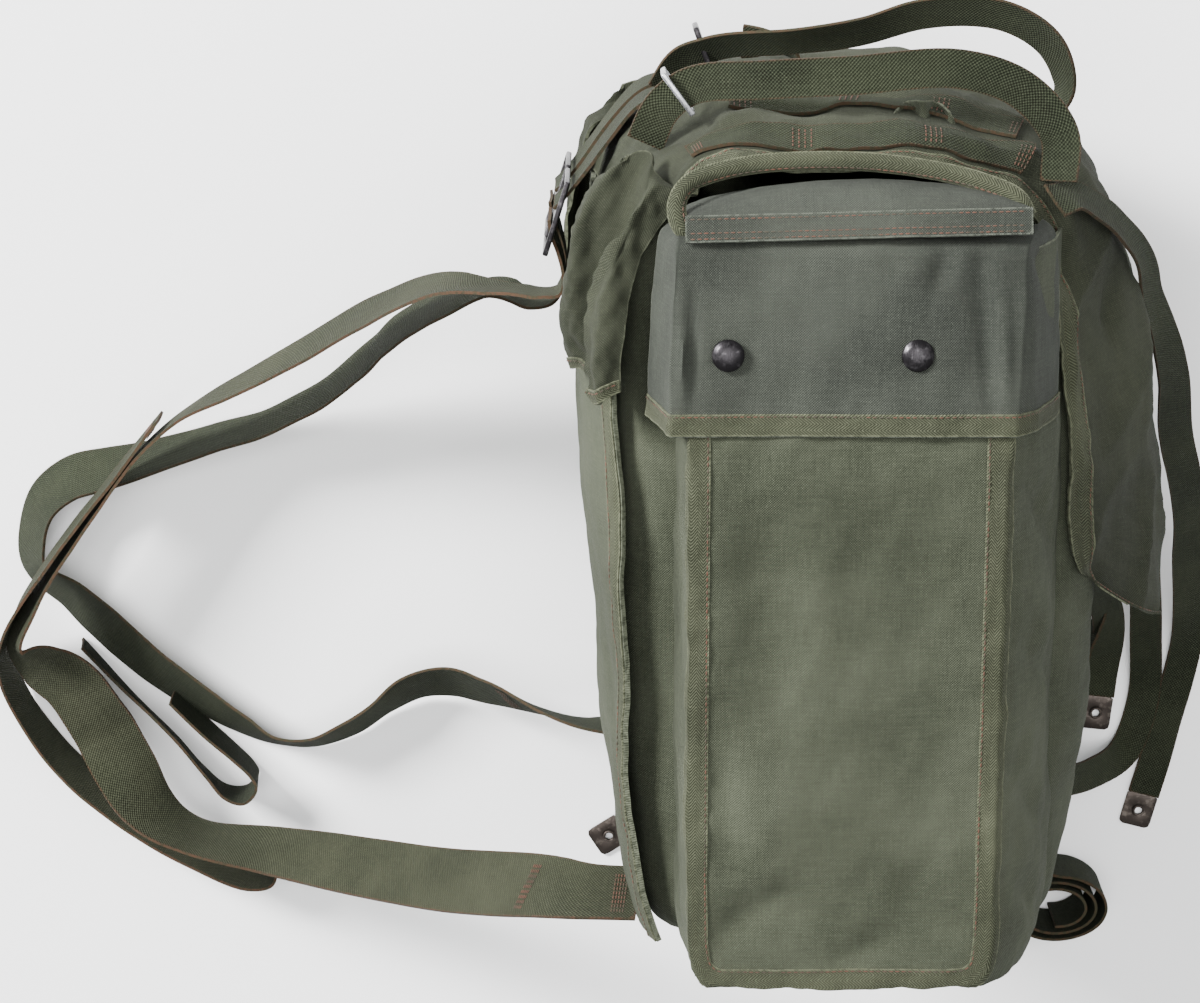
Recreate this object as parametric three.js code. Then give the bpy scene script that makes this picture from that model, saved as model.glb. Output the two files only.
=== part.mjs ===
// Canvas rucksack, lying on its far side pocket. Millimetres.
// X runs from the wearer's back to the bag's front, Y runs up the bag, and Z runs up from the
// surface that it lies on, so the near pocket is on top. The origin is on the far pocket's face.
import * as THREE from 'three';
import { mergeVertices } from 'three/addons/utils/BufferGeometryUtils.js';

// Driving sizes of the bag
const BAG_HEIGHT = 405;
const BAG_DEPTH = 250;
const BAG_WIDTH = 296;
const BAG_FRONT_SHIFT = 3;
const FRONT_CORNER = 52;
const BACK_CORNER = 34;
const CLOTH = 2;
const GAP = 0.4;
const PANEL_CLOTH = 3;
const PANEL_STAND_OFF = 4.5;
const FRONT_SWELL = 10.6;
const BACK_SWELL = 6.2;

// Driving sizes of the side pockets and their flaps
const POCKET_DEPTH = 61.6;
const POCKET_HEIGHT = 390;
const POCKET_LENGTH = 200;
const POCKET_SHIFT = 12;
const POCKET_DROP = 4;
const FLAP_HEIGHT = 104;
const FLAP_RISE = 10;
const FLAP_OVERHANG = 15;
const FLAP_TURN = 8;
const CAP_RADIUS = 8.1;
const CAP_RISE = 3.2;
const CAP_UP = 37;
const CAP_SPACING = 94;
const CAP_SHIFT = -28.6;
const CAP_SIDES = 14;

// How far the lid's crown and its skirt's folds rise, and how deep the ears are crumpled
const LID_RISE = 42;
const EAR_FOLD = 7;

// Webbing, buckles and how far the straps spread
const WIDE_WEBBING = 40;
const NARROW_WEBBING = 20;
const WEBBING = 2;
const STRAP_REACH = 370;
const FRONT_REACH = 120;
const WIRE = 3;
const TIP_PLATE = 1.2;
const TIP_LENGTH = 22;
const TIP_CORNER = 3;
const EYELET = 2.6;
const ROLL_TURNS = 3.5;
const ROLL_CORE = 6;
const ROLL_PITCH = 6.2;
const TAIL_SHARE = 0.85;
const SLOT_MIDDLE = 0.2625;

const MIDDLE = BAG_WIDTH / 2 + GAP + POCKET_DEPTH;
const SPAN = 2 * MIDDLE;
const BACK = BAG_FRONT_SHIFT - BAG_DEPTH / 2;
const FRONT = BAG_FRONT_SHIFT + BAG_DEPTH / 2;
const POCKET_BACK = POCKET_SHIFT - POCKET_LENGTH / 2;
const POCKET_FRONT = POCKET_SHIFT + POCKET_LENGTH / 2;
const FLAP_TOP = POCKET_HEIGHT + FLAP_RISE;
const FLAP_HEM = FLAP_TOP - FLAP_HEIGHT;
const CAP_HEIGHT = FLAP_HEM + CAP_UP;
const CAP_MIDDLE = POCKET_SHIFT + CAP_SHIFT;
const REST_HEIGHT = POCKET_HEIGHT / 3;

const COLOURS = {
  canvas: 0x626958, flap: 0x565e53, webbing: 0x475038, metal: 0x4b4648, tip: 0x585049,
};

const rucksack = new THREE.Group();
rucksack.position.set(0, -REST_HEIGHT, 0);

function add(name, geometry, kind) {
  const metal = kind === 'metal' || kind === 'tip';
  const mesh = new THREE.Mesh(geometry, new THREE.MeshStandardMaterial({
    color: COLOURS[kind],
    roughness: metal ? 0.4 : 0.92,
    metalness: metal ? 0.9 : 0,
  }));
  mesh.name = name;
  rucksack.add(mesh);
  return mesh;
}

// Tables: a line of column names, and one row for each section, fold or bend

function table(columns, rows) {
  const names = columns.split(' ');
  return rows.map((row) => Object.fromEntries(names.map((name, k) => [name, row[k]])));
}

// Smooth reading of a table's column at t, from 0 at the first row to 1 at the last
function read(rows, column, t) {
  const place = THREE.MathUtils.clamp(t, 0, 1) * (rows.length - 1);
  const k = Math.min(Math.floor(place), rows.length - 2);
  const value = (i) => rows[THREE.MathUtils.clamp(i, 0, rows.length - 1)][column];
  const [a, b, c, d] = [value(k - 1), value(k), value(k + 1), value(k + 2)];
  const s = place - k;
  const bend = (2 * a - 5 * b + 4 * c - d) * s * s + (3 * b - a - 3 * c + d) * s * s * s;
  return b + 0.5 * ((c - a) * s + bend);
}

const readRow = (rows, t) => Object.fromEntries(
  Object.keys(rows[0]).map((column) => [column, read(rows, column, t)]));

// Closed bodies from quads

function closedBody(points, faces) {
  let volume = 0;
  for (const [a, b, c] of faces) {
    volume += points[a].dot(new THREE.Vector3().crossVectors(points[b], points[c]));
  }
  const index = faces.flatMap(([a, b, c]) => (volume < 0 ? [a, c, b] : [a, b, c]));
  const geometry = new THREE.BufferGeometry();
  const values = points.flatMap((p) => [p.x, p.y, p.z]);
  geometry.setAttribute('position', new THREE.Float32BufferAttribute(values, 3));
  geometry.setIndex(index);
  const merged = mergeVertices(geometry, 1e-4);
  merged.computeVertexNormals();
  return merged;
}

const quad = (a, b, c, d) => [[a, b, c], [a, c, d]];

function gridNormal(grid, r, c, ring) {
  const rows = grid.length;
  const columns = grid[0].length;
  const left = ring ? (c + columns - 1) % columns : Math.max(c - 1, 0);
  const right = ring ? (c + 1) % columns : Math.min(c + 1, columns - 1);
  const along = new THREE.Vector3().subVectors(grid[r][right], grid[r][left]);
  const down = new THREE.Vector3().subVectors(
    grid[Math.min(r + 1, rows - 1)][c], grid[Math.max(r - 1, 0)][c]);
  return new THREE.Vector3().crossVectors(along, down).normalize();
}

// A sheet of cloth: the grid is its outer face, and the inner face lies one thickness inside it
function sheet(grid, thickness, inward, ring = false) {
  const rows = grid.length;
  const columns = grid[0].length;
  const inner = grid.map((row, r) => row.map((point, c) => {
    const normal = gridNormal(grid, r, c, ring);
    if (normal.dot(inward(point)) < 0) normal.negate();
    return point.clone().addScaledVector(normal, thickness);
  }));
  const points = [...grid.flat(), ...inner.flat()];
  const out = (r, c) => r * columns + (c % columns);
  const inn = (r, c) => rows * columns + out(r, c);
  const faces = [];
  const last = ring ? columns : columns - 1;
  for (let r = 0; r < rows - 1; r += 1) {
    for (let c = 0; c < last; c += 1) {
      faces.push(...quad(out(r, c), out(r, c + 1), out(r + 1, c + 1), out(r + 1, c)));
      faces.push(...quad(inn(r, c), inn(r + 1, c), inn(r + 1, c + 1), inn(r, c + 1)));
    }
  }
  for (let c = 0; c < last; c += 1) {
    faces.push(...quad(out(0, c), inn(0, c), inn(0, c + 1), out(0, c + 1)));
    const r = rows - 1;
    faces.push(...quad(out(r, c), out(r, c + 1), inn(r, c + 1), inn(r, c)));
  }
  if (!ring) {
    for (let r = 0; r < rows - 1; r += 1) {
      faces.push(...quad(out(r, 0), out(r + 1, 0), inn(r + 1, 0), inn(r, 0)));
      const c = columns - 1;
      faces.push(...quad(out(r, c), inn(r, c), inn(r + 1, c), out(r + 1, c)));
    }
  }
  return closedBody(points, faces);
}

// Webbing along a route. Roll 0 lies flat, 90 stands on its edge. The route's lift is the height
// of the webbing's lower edge, so a strap that rests on the surface has a lift just above 0.
const routeLine = (route) => new THREE.CatmullRomCurve3(route.map((row) => row.at), false, 'centripetal');
const SECTION = [[-1, -1], [1, -1], [1, 1], [-1, 1]];

function webbing(route, width, steps) {
  const line = routeLine(route);
  const up = new THREE.Vector3(0, 0, 1);
  const sections = [];
  for (let k = 0; k <= steps; k += 1) {
    const t = k / steps;
    const tangent = line.getTangent(t);
    const across = new THREE.Vector3().crossVectors(up, tangent).normalize();
    const normal = new THREE.Vector3().crossVectors(tangent, across).normalize();
    const roll = THREE.MathUtils.degToRad(read(route, 'roll', t));
    const side = across.multiplyScalar(Math.cos(roll)).addScaledVector(normal, Math.sin(roll));
    const face = new THREE.Vector3().crossVectors(tangent, side).normalize();
    side.multiplyScalar(width / 2);
    face.multiplyScalar(WEBBING / 2);
    const centre = line.getPoint(t);
    centre.z += Math.abs(side.z) + Math.abs(face.z);
    sections.push({ centre, side, face });
  }
  const points = sections.flatMap(({ centre, side, face }) => SECTION.map(
    ([a, b]) => centre.clone().addScaledVector(side, a).addScaledVector(face, b)));
  const faces = [];
  for (let k = 0; k < steps; k += 1) {
    for (let e = 0; e < 4; e += 1) {
      const a = 4 * k + e;
      const b = 4 * k + ((e + 1) % 4);
      faces.push(...quad(a, b, b + 4, a + 4));
    }
  }
  const end = 4 * steps;
  faces.push(...quad(3, 2, 1, 0), ...quad(end, end + 1, end + 2, end + 3));
  return closedBody(points, faces);
}

// Routes behind the back and in front of the bag, in shares of the sizes that they follow
const behind = (rows) => table('out up lift roll', rows).map((row) => ({
  at: new THREE.Vector3(BACK - row.out * STRAP_REACH, row.up * BAG_HEIGHT, row.lift * SPAN),
  roll: row.roll,
}));
const ahead = (rows) => table('out up lift roll', rows).map((row) => ({
  at: new THREE.Vector3(FRONT + row.out * FRONT_REACH, row.up * BAG_HEIGHT, row.lift * SPAN),
  roll: row.roll,
}));
const overLid = (rows) => table('along up lift roll', rows).map((row) => ({
  at: new THREE.Vector3(row.along * BAG_DEPTH / 2, BAG_HEIGHT + row.up * LID_RISE, row.lift * SPAN),
  roll: row.roll,
}));

// The bag's body: rings of a rounded rectangle up to the open mouth under the lid

const BODY_RINGS = table('up back front half', [
  [0.00, 0.93, 0.86, 0.95],
  [0.025, 0.97, 0.92, 0.99],
  [0.10, 0.98, 0.96, 1.00],
  [0.25, 0.97, 1.01, 1.00],
  [0.42, 0.97, 1.04, 1.00],
  [0.60, 0.98, 1.03, 1.00],
  [0.75, 0.98, 0.98, 1.00],
  [0.88, 0.96, 0.88, 0.98],
  [0.965, 0.90, 0.76, 0.93],
]);

function bodyPoint(row, corner, turn) {
  const half = row.half * BAG_WIDTH / 2;
  const back = BAG_FRONT_SHIFT - row.back * BAG_DEPTH / 2;
  const front = BAG_FRONT_SHIFT + row.front * BAG_DEPTH / 2;
  const radius = corner < 2 ? FRONT_CORNER : BACK_CORNER;
  const [x, z] = [
    [front - radius, half - radius], [front - radius, radius - half],
    [back + radius, radius - half], [back + radius, half - radius],
  ][corner];
  const angle = (Math.PI / 2) * (1 - corner - turn);
  return new THREE.Vector3(
    x + radius * Math.cos(angle), row.up * BAG_HEIGHT, MIDDLE + z + radius * Math.sin(angle));
}

// The front panel swells between its corners, and so does the back panel against the wearer
function bulge(point, row) {
  const half = row.half * BAG_WIDTH / 2;
  const share = Math.max(1 - ((point.z - MIDDLE) / half) ** 2, 0);
  const swell = point.x > BAG_FRONT_SHIFT ? FRONT_SWELL : -BACK_SWELL;
  return point.clone().setX(point.x + swell * share * Math.sin(Math.PI * row.up));
}

function bodyRing(row) {
  const steps = 4;
  const ring = [];
  for (let corner = 0; corner < 4; corner += 1) {
    for (let k = 0; k <= steps; k += 1) ring.push(bodyPoint(row, corner, k / steps));
    const from = ring[ring.length - 1];
    const to = bodyPoint(row, (corner + 1) % 4, 0);
    const spans = corner % 2 === 0 ? 5 : 3;
    for (let k = 1; k < spans; k += 1) ring.push(from.clone().lerp(to, k / spans));
  }
  return ring.map((point) => bulge(point, row));
}

function makeBody() {
  const outer = BODY_RINGS.map(bodyRing);
  const inner = outer.map((ring, r) => ring.map((point, c) => {
    const normal = gridNormal(outer, r, c, true).setY(0).normalize();
    const centre = new THREE.Vector3(BAG_FRONT_SHIFT, point.y, MIDDLE);
    if (normal.dot(centre.sub(point)) < 0) normal.negate();
    return point.clone().addScaledVector(normal, CLOTH);
  }));
  inner[0].forEach((point) => point.setY(CLOTH));
  const count = outer[0].length;
  const points = [...outer.flat(), ...inner.flat()];
  const out = (r, c) => r * count + (c % count);
  const inn = (r, c) => outer.length * count + out(r, c);
  const faces = [];
  for (let r = 0; r < outer.length - 1; r += 1) {
    for (let c = 0; c < count; c += 1) {
      faces.push(...quad(out(r, c), out(r, c + 1), out(r + 1, c + 1), out(r + 1, c)));
      faces.push(...quad(inn(r, c), inn(r + 1, c), inn(r + 1, c + 1), inn(r, c + 1)));
    }
  }
  const rim = outer.length - 1;
  const baseOut = points.push(new THREE.Vector3(BAG_FRONT_SHIFT, 0, MIDDLE)) - 1;
  const baseIn = points.push(new THREE.Vector3(BAG_FRONT_SHIFT, CLOTH, MIDDLE)) - 1;
  for (let c = 0; c < count; c += 1) {
    faces.push(...quad(out(rim, c), out(rim, c + 1), inn(rim, c + 1), inn(rim, c)));
    faces.push([out(0, c + 1), out(0, c), baseOut], [inn(0, c), inn(0, c + 1), baseIn]);
  }
  return closedBody(points, faces);
}

// The double layer at the wearer's back: it wraps the back and stands proud at both edges

const PANEL_ROWS = table('up middle edge half', [
  [-0.005, 0.98, 0.85, 1.00],
  [0.06, 1.04, 0.89, 1.03],
  [0.20, 1.03, 0.92, 1.04],
  [0.42, 1.05, 0.91, 1.04],
  [0.60, 1.09, 0.91, 1.02],
  [0.76, 1.10, 0.95, 0.94],
  [0.9575, 1.045, 0.955, 0.80],
]);

function makeBackPanel() {
  const columns = 16;
  const grid = PANEL_ROWS.map((row) => Array.from({ length: columns + 1 }, (_, c) => {
    const u = 2 * c / columns - 1;
    const reach = row.edge + (row.middle - row.edge) * (1 - Math.abs(u) ** 5);
    const x = BAG_FRONT_SHIFT - reach * BAG_DEPTH / 2 - PANEL_STAND_OFF;
    return new THREE.Vector3(x, row.up * BAG_HEIGHT, MIDDLE + u * row.half * BAG_WIDTH / 2);
  }));
  return sheet(grid, PANEL_CLOTH, () => new THREE.Vector3(1, 0, 0));
}

// Pockets and flaps are trays: a face with gussets that fall to the bag's side.
// side is 1 for the near side and -1 for the far side.

function tray({ across, upward, from, to, bottom, top, side }) {
  const middle = (from + to) / 2;
  return upward.map((row) => across.map((column) => {
    const x = from + column.share * (to - from);
    const drawn = middle + (x - middle) * (1 - row.draw);
    const rise = Math.min(column.rise, row.rise);
    const z = BAG_WIDTH / 2 + GAP + rise * POCKET_DEPTH;
    return new THREE.Vector3(drawn, bottom + row.share * (top - bottom), MIDDLE + side * z);
  }));
}

const POCKET_ACROSS = table('share rise', [
  [0, 0.0], [0.008, 0.35], [0.016, 0.7], [0.03, 1], [0.15, 1], [0.32, 1], [0.5, 1], [0.68, 1],
  [0.82, 1], [0.86, 0.86], [0.92, 0.6], [0.965, 0.3], [1, 0.0],
]);
const POCKET_UPWARD = table('share rise draw', [
  [0.000, 0.0, 0.12], [0.000, 0.35, 0.10], [0.002, 0.7, 0.09], [0.006, 1.0, 0.08],
  [0.030, 1.0, 0.035], [0.07, 1.0, 0.008], [0.16, 1.0, 0.0], [0.34, 1.0, 0.0], [0.52, 1.0, 0.0],
  [0.685, 1.0, 0.0], [0.762, 0.945, 0.0], [0.90, 0.855, 0.0], [0.985, 0.82, 0.0],
]);

function makePocket(side) {
  const grid = tray({
    across: POCKET_ACROSS, upward: POCKET_UPWARD, from: POCKET_BACK, to: POCKET_FRONT,
    bottom: -POCKET_DROP, top: POCKET_HEIGHT, side,
  });
  const heart = new THREE.Vector3(POCKET_SHIFT, POCKET_HEIGHT / 2, MIDDLE);
  return sheet(grid, CLOTH, (point) => {
    const inward = heart.clone().sub(point);
    return inward.setY(point.y < POCKET_HEIGHT / 2 ? Math.max(inward.y, 0) * 0.4 : 0);
  });
}

const FLAP_ACROSS = table('share rise', [
  [0, 0.22], [0.03, 0.62], [0.062, 1.1], [0.2, 1.1], [0.4, 1.1], [0.6, 1.1], [0.8, 1.1],
  [0.905, 1.1], [0.945, 0.86], [0.98, 0.5], [1, 0.26],
]);
const FLAP_UPWARD = table('share rise draw', [
  [0.0, 0.992, 0.0], [0.26, 0.946, 0.008], [0.52, 0.90, 0.02], [0.86, 0.868, 0.04],
  [0.93, 0.78, 0.05], [0.97, 0.45, 0.055], [1.0, 0.04, 0.06],
]);

function makeFlap(side) {
  const grid = tray({
    across: FLAP_ACROSS, upward: FLAP_UPWARD, from: POCKET_BACK - FLAP_OVERHANG,
    to: POCKET_FRONT + FLAP_OVERHANG / 3, bottom: FLAP_HEM, top: FLAP_TOP, side,
  });
  const [back, front] = [POCKET_BACK + FLAP_TURN, POCKET_FRONT - FLAP_TURN];
  return sheet(grid, CLOTH, (point) => new THREE.Vector3(
    Number(point.x < back) - Number(point.x > front), -Number(point.y > FLAP_TOP - FLAP_TURN), -side));
}

const solid = (geometry) => {
  geometry.deleteAttribute('normal');
  geometry.deleteAttribute('uv');
  return mergeVertices(geometry, 1e-4);
};

// Domed snap caps, seated on the sloping flap
const CAP_PROFILE = table('radius rise', [
  [0, 0], [1, 0], [1, 0.25], [0.86, 0.62], [0.6, 0.88], [0.3, 0.98], [0, 1],
]);

function makeCap(name, x, side) {
  const points = CAP_PROFILE.map(
    (row) => new THREE.Vector2(row.radius * CAP_RADIUS, row.rise * CAP_RISE));
  const cap = add(name, solid(new THREE.LatheGeometry(points, CAP_SIDES)), 'metal');
  const share = CAP_UP / FLAP_HEIGHT;
  const [low, high] = [FLAP_UPWARD[1], FLAP_UPWARD[2]];
  const slope = (high.rise - low.rise) / (high.share - low.share);
  const rise = low.rise + slope * (share - low.share);
  const lean = Math.atan(-slope * POCKET_DEPTH / FLAP_HEIGHT);
  cap.rotation.set(side * (Math.PI / 2 - lean), 0, 0);
  const seat = BAG_WIDTH / 2 + GAP + rise * POCKET_DEPTH;
  cap.position.set(x, CAP_HEIGHT + GAP * Math.sin(lean), MIDDLE + side * (seat + GAP));
}

// The lid: a flap from the back's top edge over the mouth and down the front

const LID_ROWS = table('middleX middleUp edgeX edgeUp half', [
  [-1.03, -0.40, -0.62, -0.06, 0.98],
  [-0.86, 0.52, -0.60, 0.16, 1.06],
  [-0.48, 0.92, -0.46, 0.36, 1.09],
  [0.02, 1.00, 0.00, 0.40, 1.09],
  [0.48, 0.98, 0.42, 0.20, 1.06],
  [0.86, 0.66, 0.68, -0.03, 1.00],
  [1.14, -0.35, 0.85, -0.90, 0.975],
  [1.34, -2.2, 0.915, -2.6, 0.965],
  [1.44, -4.1, 0.92, -3.9, 0.95],
  [1.46, -5.5, 0.955, -4.55, 0.93],
  [1.46, -6.05, 1.02, -4.95, 0.86],
]);

function lidPoint(row, u) {
  const share = 1 - Math.abs(u) ** 3;
  const x = (row.edgeX + (row.middleX - row.edgeX) * share) * BAG_DEPTH / 2;
  const up = row.edgeUp + (row.middleUp - row.edgeUp) * share;
  return new THREE.Vector3(x, BAG_HEIGHT + up * LID_RISE, MIDDLE + u * row.half * BAG_WIDTH / 2);
}

function makeLid() {
  const columns = 16;
  const steps = 18;
  const grid = Array.from({ length: steps + 1 }, (_, r) => {
    const row = readRow(LID_ROWS, r / steps);
    return Array.from({ length: columns + 1 }, (__, c) => lidPoint(row, 2 * c / columns - 1));
  });
  const heart = new THREE.Vector3(0, BAG_HEIGHT * 0.6, MIDDLE);
  return sheet(grid, CLOTH, (point) => heart.clone().sub(point).setZ(0));
}

// The crumpled ears between back panel and pocket flap: a sheet with deep upright folds

const EAR_ROWS = table('up backX backZ frontX frontZ fold', [
  [0.745, 1.104, 0.66, 0.92, 1.125, 0.6],
  [0.80, 1.13, 0.70, 0.93, 1.13, 0.9],
  [0.86, 1.13, 0.72, 0.93, 1.12, 1.0],
  [0.93, 1.10, 0.74, 0.91, 1.09, 1.0],
  [1.00, 1.03, 0.76, 0.84, 1.04, 0.7],
  [1.045, 0.94, 0.80, 0.80, 0.95, 0.3],
]);

function earPoint(row, u, side) {
  const round = 0.05 * Math.sin(Math.PI * u);
  const wave = Math.SQRT1_2 * EAR_FOLD * row.fold * Math.sin(3 * Math.PI * u) * (1 - 0.3 * u);
  const x = (row.backX + (row.frontX - row.backX) * u + round) * BAG_DEPTH / 2;
  const share = row.backZ + (row.frontZ - row.backZ) * Math.sin(u * Math.PI / 2);
  const z = share * BAG_WIDTH / 2 + wave;
  return new THREE.Vector3(-x - wave, row.up * BAG_HEIGHT, MIDDLE + side * z);
}

function makeEar(side) {
  const columns = 12;
  const steps = 8;
  const grid = Array.from({ length: steps + 1 }, (_, r) => {
    const row = readRow(EAR_ROWS, r / steps);
    return Array.from({ length: columns + 1 }, (__, c) => earPoint(row, c / columns, side));
  });
  return sheet(grid, CLOTH, () => new THREE.Vector3(1, 0, -side));
}

// Flat metal: strap tips with an eyelet hole, and slider buckles with a middle bar

function roundedPlate(width, length, corner) {
  const shape = new THREE.Shape();
  shape.moveTo(-width / 2, 0);
  shape.lineTo(width / 2, 0);
  shape.lineTo(width / 2, length - corner);
  shape.absarc(width / 2 - corner, length - corner, corner, 0, Math.PI / 2);
  shape.lineTo(corner - width / 2, length);
  shape.absarc(corner - width / 2, length - corner, corner, Math.PI / 2, Math.PI);
  shape.lineTo(-width / 2, 0);
  return shape;
}

function plate(shape, thickness) {
  return solid(new THREE.ExtrudeGeometry(
    shape, { depth: thickness, bevelEnabled: false, curveSegments: 4 }));
}

function makeTip() {
  const shape = roundedPlate(NARROW_WEBBING, TIP_LENGTH, TIP_CORNER);
  const hole = new THREE.Path();
  hole.absarc(0, TIP_LENGTH / 2, EYELET, 0, 2 * Math.PI, true);
  shape.holes.push(hole);
  return plate(shape, TIP_PLATE);
}

function makeSlider(webbingWidth) {
  const slot = webbingWidth / 2 + GAP;
  const reach = webbingWidth * 0.45;
  const outer = new THREE.Shape();
  outer.moveTo(-slot - WIRE, -reach - WIRE);
  outer.lineTo(slot + WIRE, -reach - WIRE);
  outer.lineTo(slot + WIRE, reach + WIRE);
  outer.lineTo(-slot - WIRE, reach + WIRE);
  outer.lineTo(-slot - WIRE, -reach - WIRE);
  for (const end of [-1, 1]) {
    const hole = new THREE.Path();
    const [low, high] = end < 0 ? [-reach, -WIRE / 2] : [WIRE / 2, reach];
    hole.moveTo(-slot, low);
    hole.lineTo(-slot, high);
    hole.lineTo(slot, high);
    hole.lineTo(slot, low);
    hole.lineTo(-slot, low);
    outer.holes.push(hole);
  }
  return plate(outer, WIRE);
}

// Turns a flat piece so that its length runs along one direction and its face along another
function lay(mesh, at, length, face) {
  const y = length.clone().normalize();
  const z = face.clone().addScaledVector(y, -face.dot(y)).normalize();
  const x = new THREE.Vector3().crossVectors(y, z);
  mesh.quaternion.setFromRotationMatrix(new THREE.Matrix4().makeBasis(x, y, z));
  mesh.position.copy(at);
}

// Shoulder straps. They leave the sliders at the back's top, spread over the surface and come
// back to the lower corners of the back.

const NEAR_UPPER_RUN = behind([
  [0.087, 0.918, 0.519, 90], [0.084, 0.898, 0.519, 90], [0.075, 0.874, 0.519, 90],
  [0.067, 0.845, 0.519, 90], [0.068, 0.822, 0.517, 90], [0.092, 0.81, 0.51, 90],
  [0.15, 0.806, 0.485, 88], [0.25, 0.795, 0.42, 80], [0.37, 0.73, 0.28, 74],
  [0.49, 0.65, 0.175, 68], [0.60, 0.585, 0.115, 70], [0.69, 0.535, 0.085, 84],
  [0.76, 0.48, 0.08, 90], [0.85, 0.375, 0.085, 84], [0.94, 0.26, 0.09, 80], [0.985, 0.17, 0.09, 82],
]);
const NEAR_LOWER_RUN = behind([
  [0.9825, 0.1535, 0.092, 66], [0.945, 0.135, 0.092, 30], [0.90, 0.10, 0.09, 18], [0.86, 0.04, 0.088, 16],
  [0.82, -0.03, 0.084, 24], [0.765, -0.10, 0.08, 45], [0.70, -0.135, 0.085, 62], [0.58, -0.145, 0.12, 60],
  [0.42, -0.12, 0.26, 56], [0.25, -0.065, 0.46, 56], [0.10, 0.0, 0.64, 62], [0.0605, 0.028, 0.70, 80],
]);
const NEAR_TAIL = behind([
  [0.735, 0.5245, 0.075, 90], [0.80, 0.449, 0.078, 88], [0.90, 0.335, 0.10, 86], [0.988, 0.215, 0.09, 88],
  [1.015, 0.13, 0.04, 86], [0.995, 0.05, 0.006, 76], [0.95, -0.02, 0.002, 74], [0.88, -0.09, 0.002, 74],
  [0.79, -0.155, 0.002, 74], [0.70, -0.205, 0.002, 80], [0.62, -0.24, 0.002, 88], [0.578, -0.236, 0.002, 95],
  [0.565, -0.215, 0.002, 90],
]);
const FAR_UPPER_RUN = behind([
  [0.087, 0.918, 0.386, 90], [0.084, 0.898, 0.386, 90], [0.075, 0.874, 0.386, 90],
  [0.067, 0.84, 0.386, 90], [0.068, 0.805, 0.386, 90], [0.081, 0.78, 0.386, 90],
  [0.11, 0.77, 0.38, 90], [0.17, 0.778, 0.355, 86], [0.25, 0.745, 0.30, 74],
  [0.34, 0.68, 0.20, 66], [0.39, 0.63, 0.145, 64], [0.47, 0.56, 0.075, 62],
  [0.57, 0.505, 0.03, 58], [0.66, 0.475, 0.010, 52],
  [0.76, 0.445, 0.003, 34], [0.84, 0.425, 0.002, 24], [0.90, 0.41, 0.002, 24], [0.945, 0.375, 0.002, 40],
  [0.965, 0.325, 0.002, 50], [0.963, 0.27, 0.002, 54],
]);
const FAR_LOWER_RUN = behind([
  [0.957, 0.252, 0.002, 62], [0.90, 0.222, 0.002, 44], [0.855, 0.18, 0.002, 34], [0.78, 0.115, 0.002, 38],
  [0.70, 0.06, 0.002, 46], [0.63, 0.02, 0.002, 56], [0.57, -0.008, 0.002, 66], [0.50, -0.012, 0.003, 66],
  [0.44, 0.01, 0.004, 62], [0.385, 0.045, 0.006, 62], [0.33, 0.078, 0.012, 52], [0.27, 0.09, 0.025, 46],
  [0.20, 0.085, 0.055, 52], [0.12, 0.075, 0.10, 64], [0.05, 0.07, 0.14, 78],
  [0.0065, 0.068, 0.15, 86],
]);
const FAR_TAIL = behind([
  [0.889, 0.148, 0.002, 88], [0.83, 0.085, 0.002, 86], [0.78, 0.035, 0.002, 86], [0.73, -0.015, 0.002, 86],
  [0.69, -0.062, 0.002, 86], [0.655, -0.095, 0.002, 88], [0.62, -0.10, 0.002, 92], [0.60, -0.078, 0.002, 92],
  [0.608, -0.06, 0.002, 90], [0.64, -0.038, 0.002, 88], [0.68, -0.008, 0.002, 86],
]);

function makeShoulderStraps() {
  add('near_shoulder_upper', webbing(NEAR_UPPER_RUN, WIDE_WEBBING, 40), 'webbing');
  add('near_shoulder_lower', webbing(NEAR_LOWER_RUN, WIDE_WEBBING, 38), 'webbing');
  add('near_shoulder_tail', webbing(NEAR_TAIL, WIDE_WEBBING * TAIL_SHARE, 40), 'webbing');
  add('far_shoulder_upper', webbing(FAR_UPPER_RUN, WIDE_WEBBING, 44), 'webbing');
  add('far_shoulder_lower', webbing(FAR_LOWER_RUN, WIDE_WEBBING, 40), 'webbing');
  add('far_shoulder_tail', webbing(FAR_TAIL, WIDE_WEBBING * TAIL_SHARE, 34), 'webbing');
}

// Anchor webbing comes over the lid's back edge and turns in through the slider's upper slot

const SLIDER_UP = new THREE.Vector3(0.3, 0.954, 0);
const SLIDER_OUT = new THREE.Vector3(-0.954, 0.3, 0);

function makeAnchor(name, lift) {
  const route = behind([
    [-0.103, 1.085, lift, 90], [-0.049, 1.073, lift, 90], [0.0, 1.025, lift, 90],
    [0.0473, 0.965, lift, 90], [0.0676, 0.943, lift, 90], [0.080, 0.9325, lift, 90],
  ]);
  add(`${name}_anchor`, webbing(route, WIDE_WEBBING, 16), 'webbing');
  const slider = add(`${name}_shoulder_slider`, makeSlider(WIDE_WEBBING), 'metal');
  const middle = lift * SPAN + WIDE_WEBBING / 2;
  const centre = new THREE.Vector3(BACK - 0.0768 * STRAP_REACH, 0.921 * BAG_HEIGHT, middle);
  lay(slider, centre.addScaledVector(SLIDER_OUT, -WIRE / 2), SLIDER_UP, SLIDER_OUT);
}

// Webbing sewn flat on the lid

function lidAt(v, u) {
  return lidPoint(readRow(LID_ROWS, v), u);
}

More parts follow.
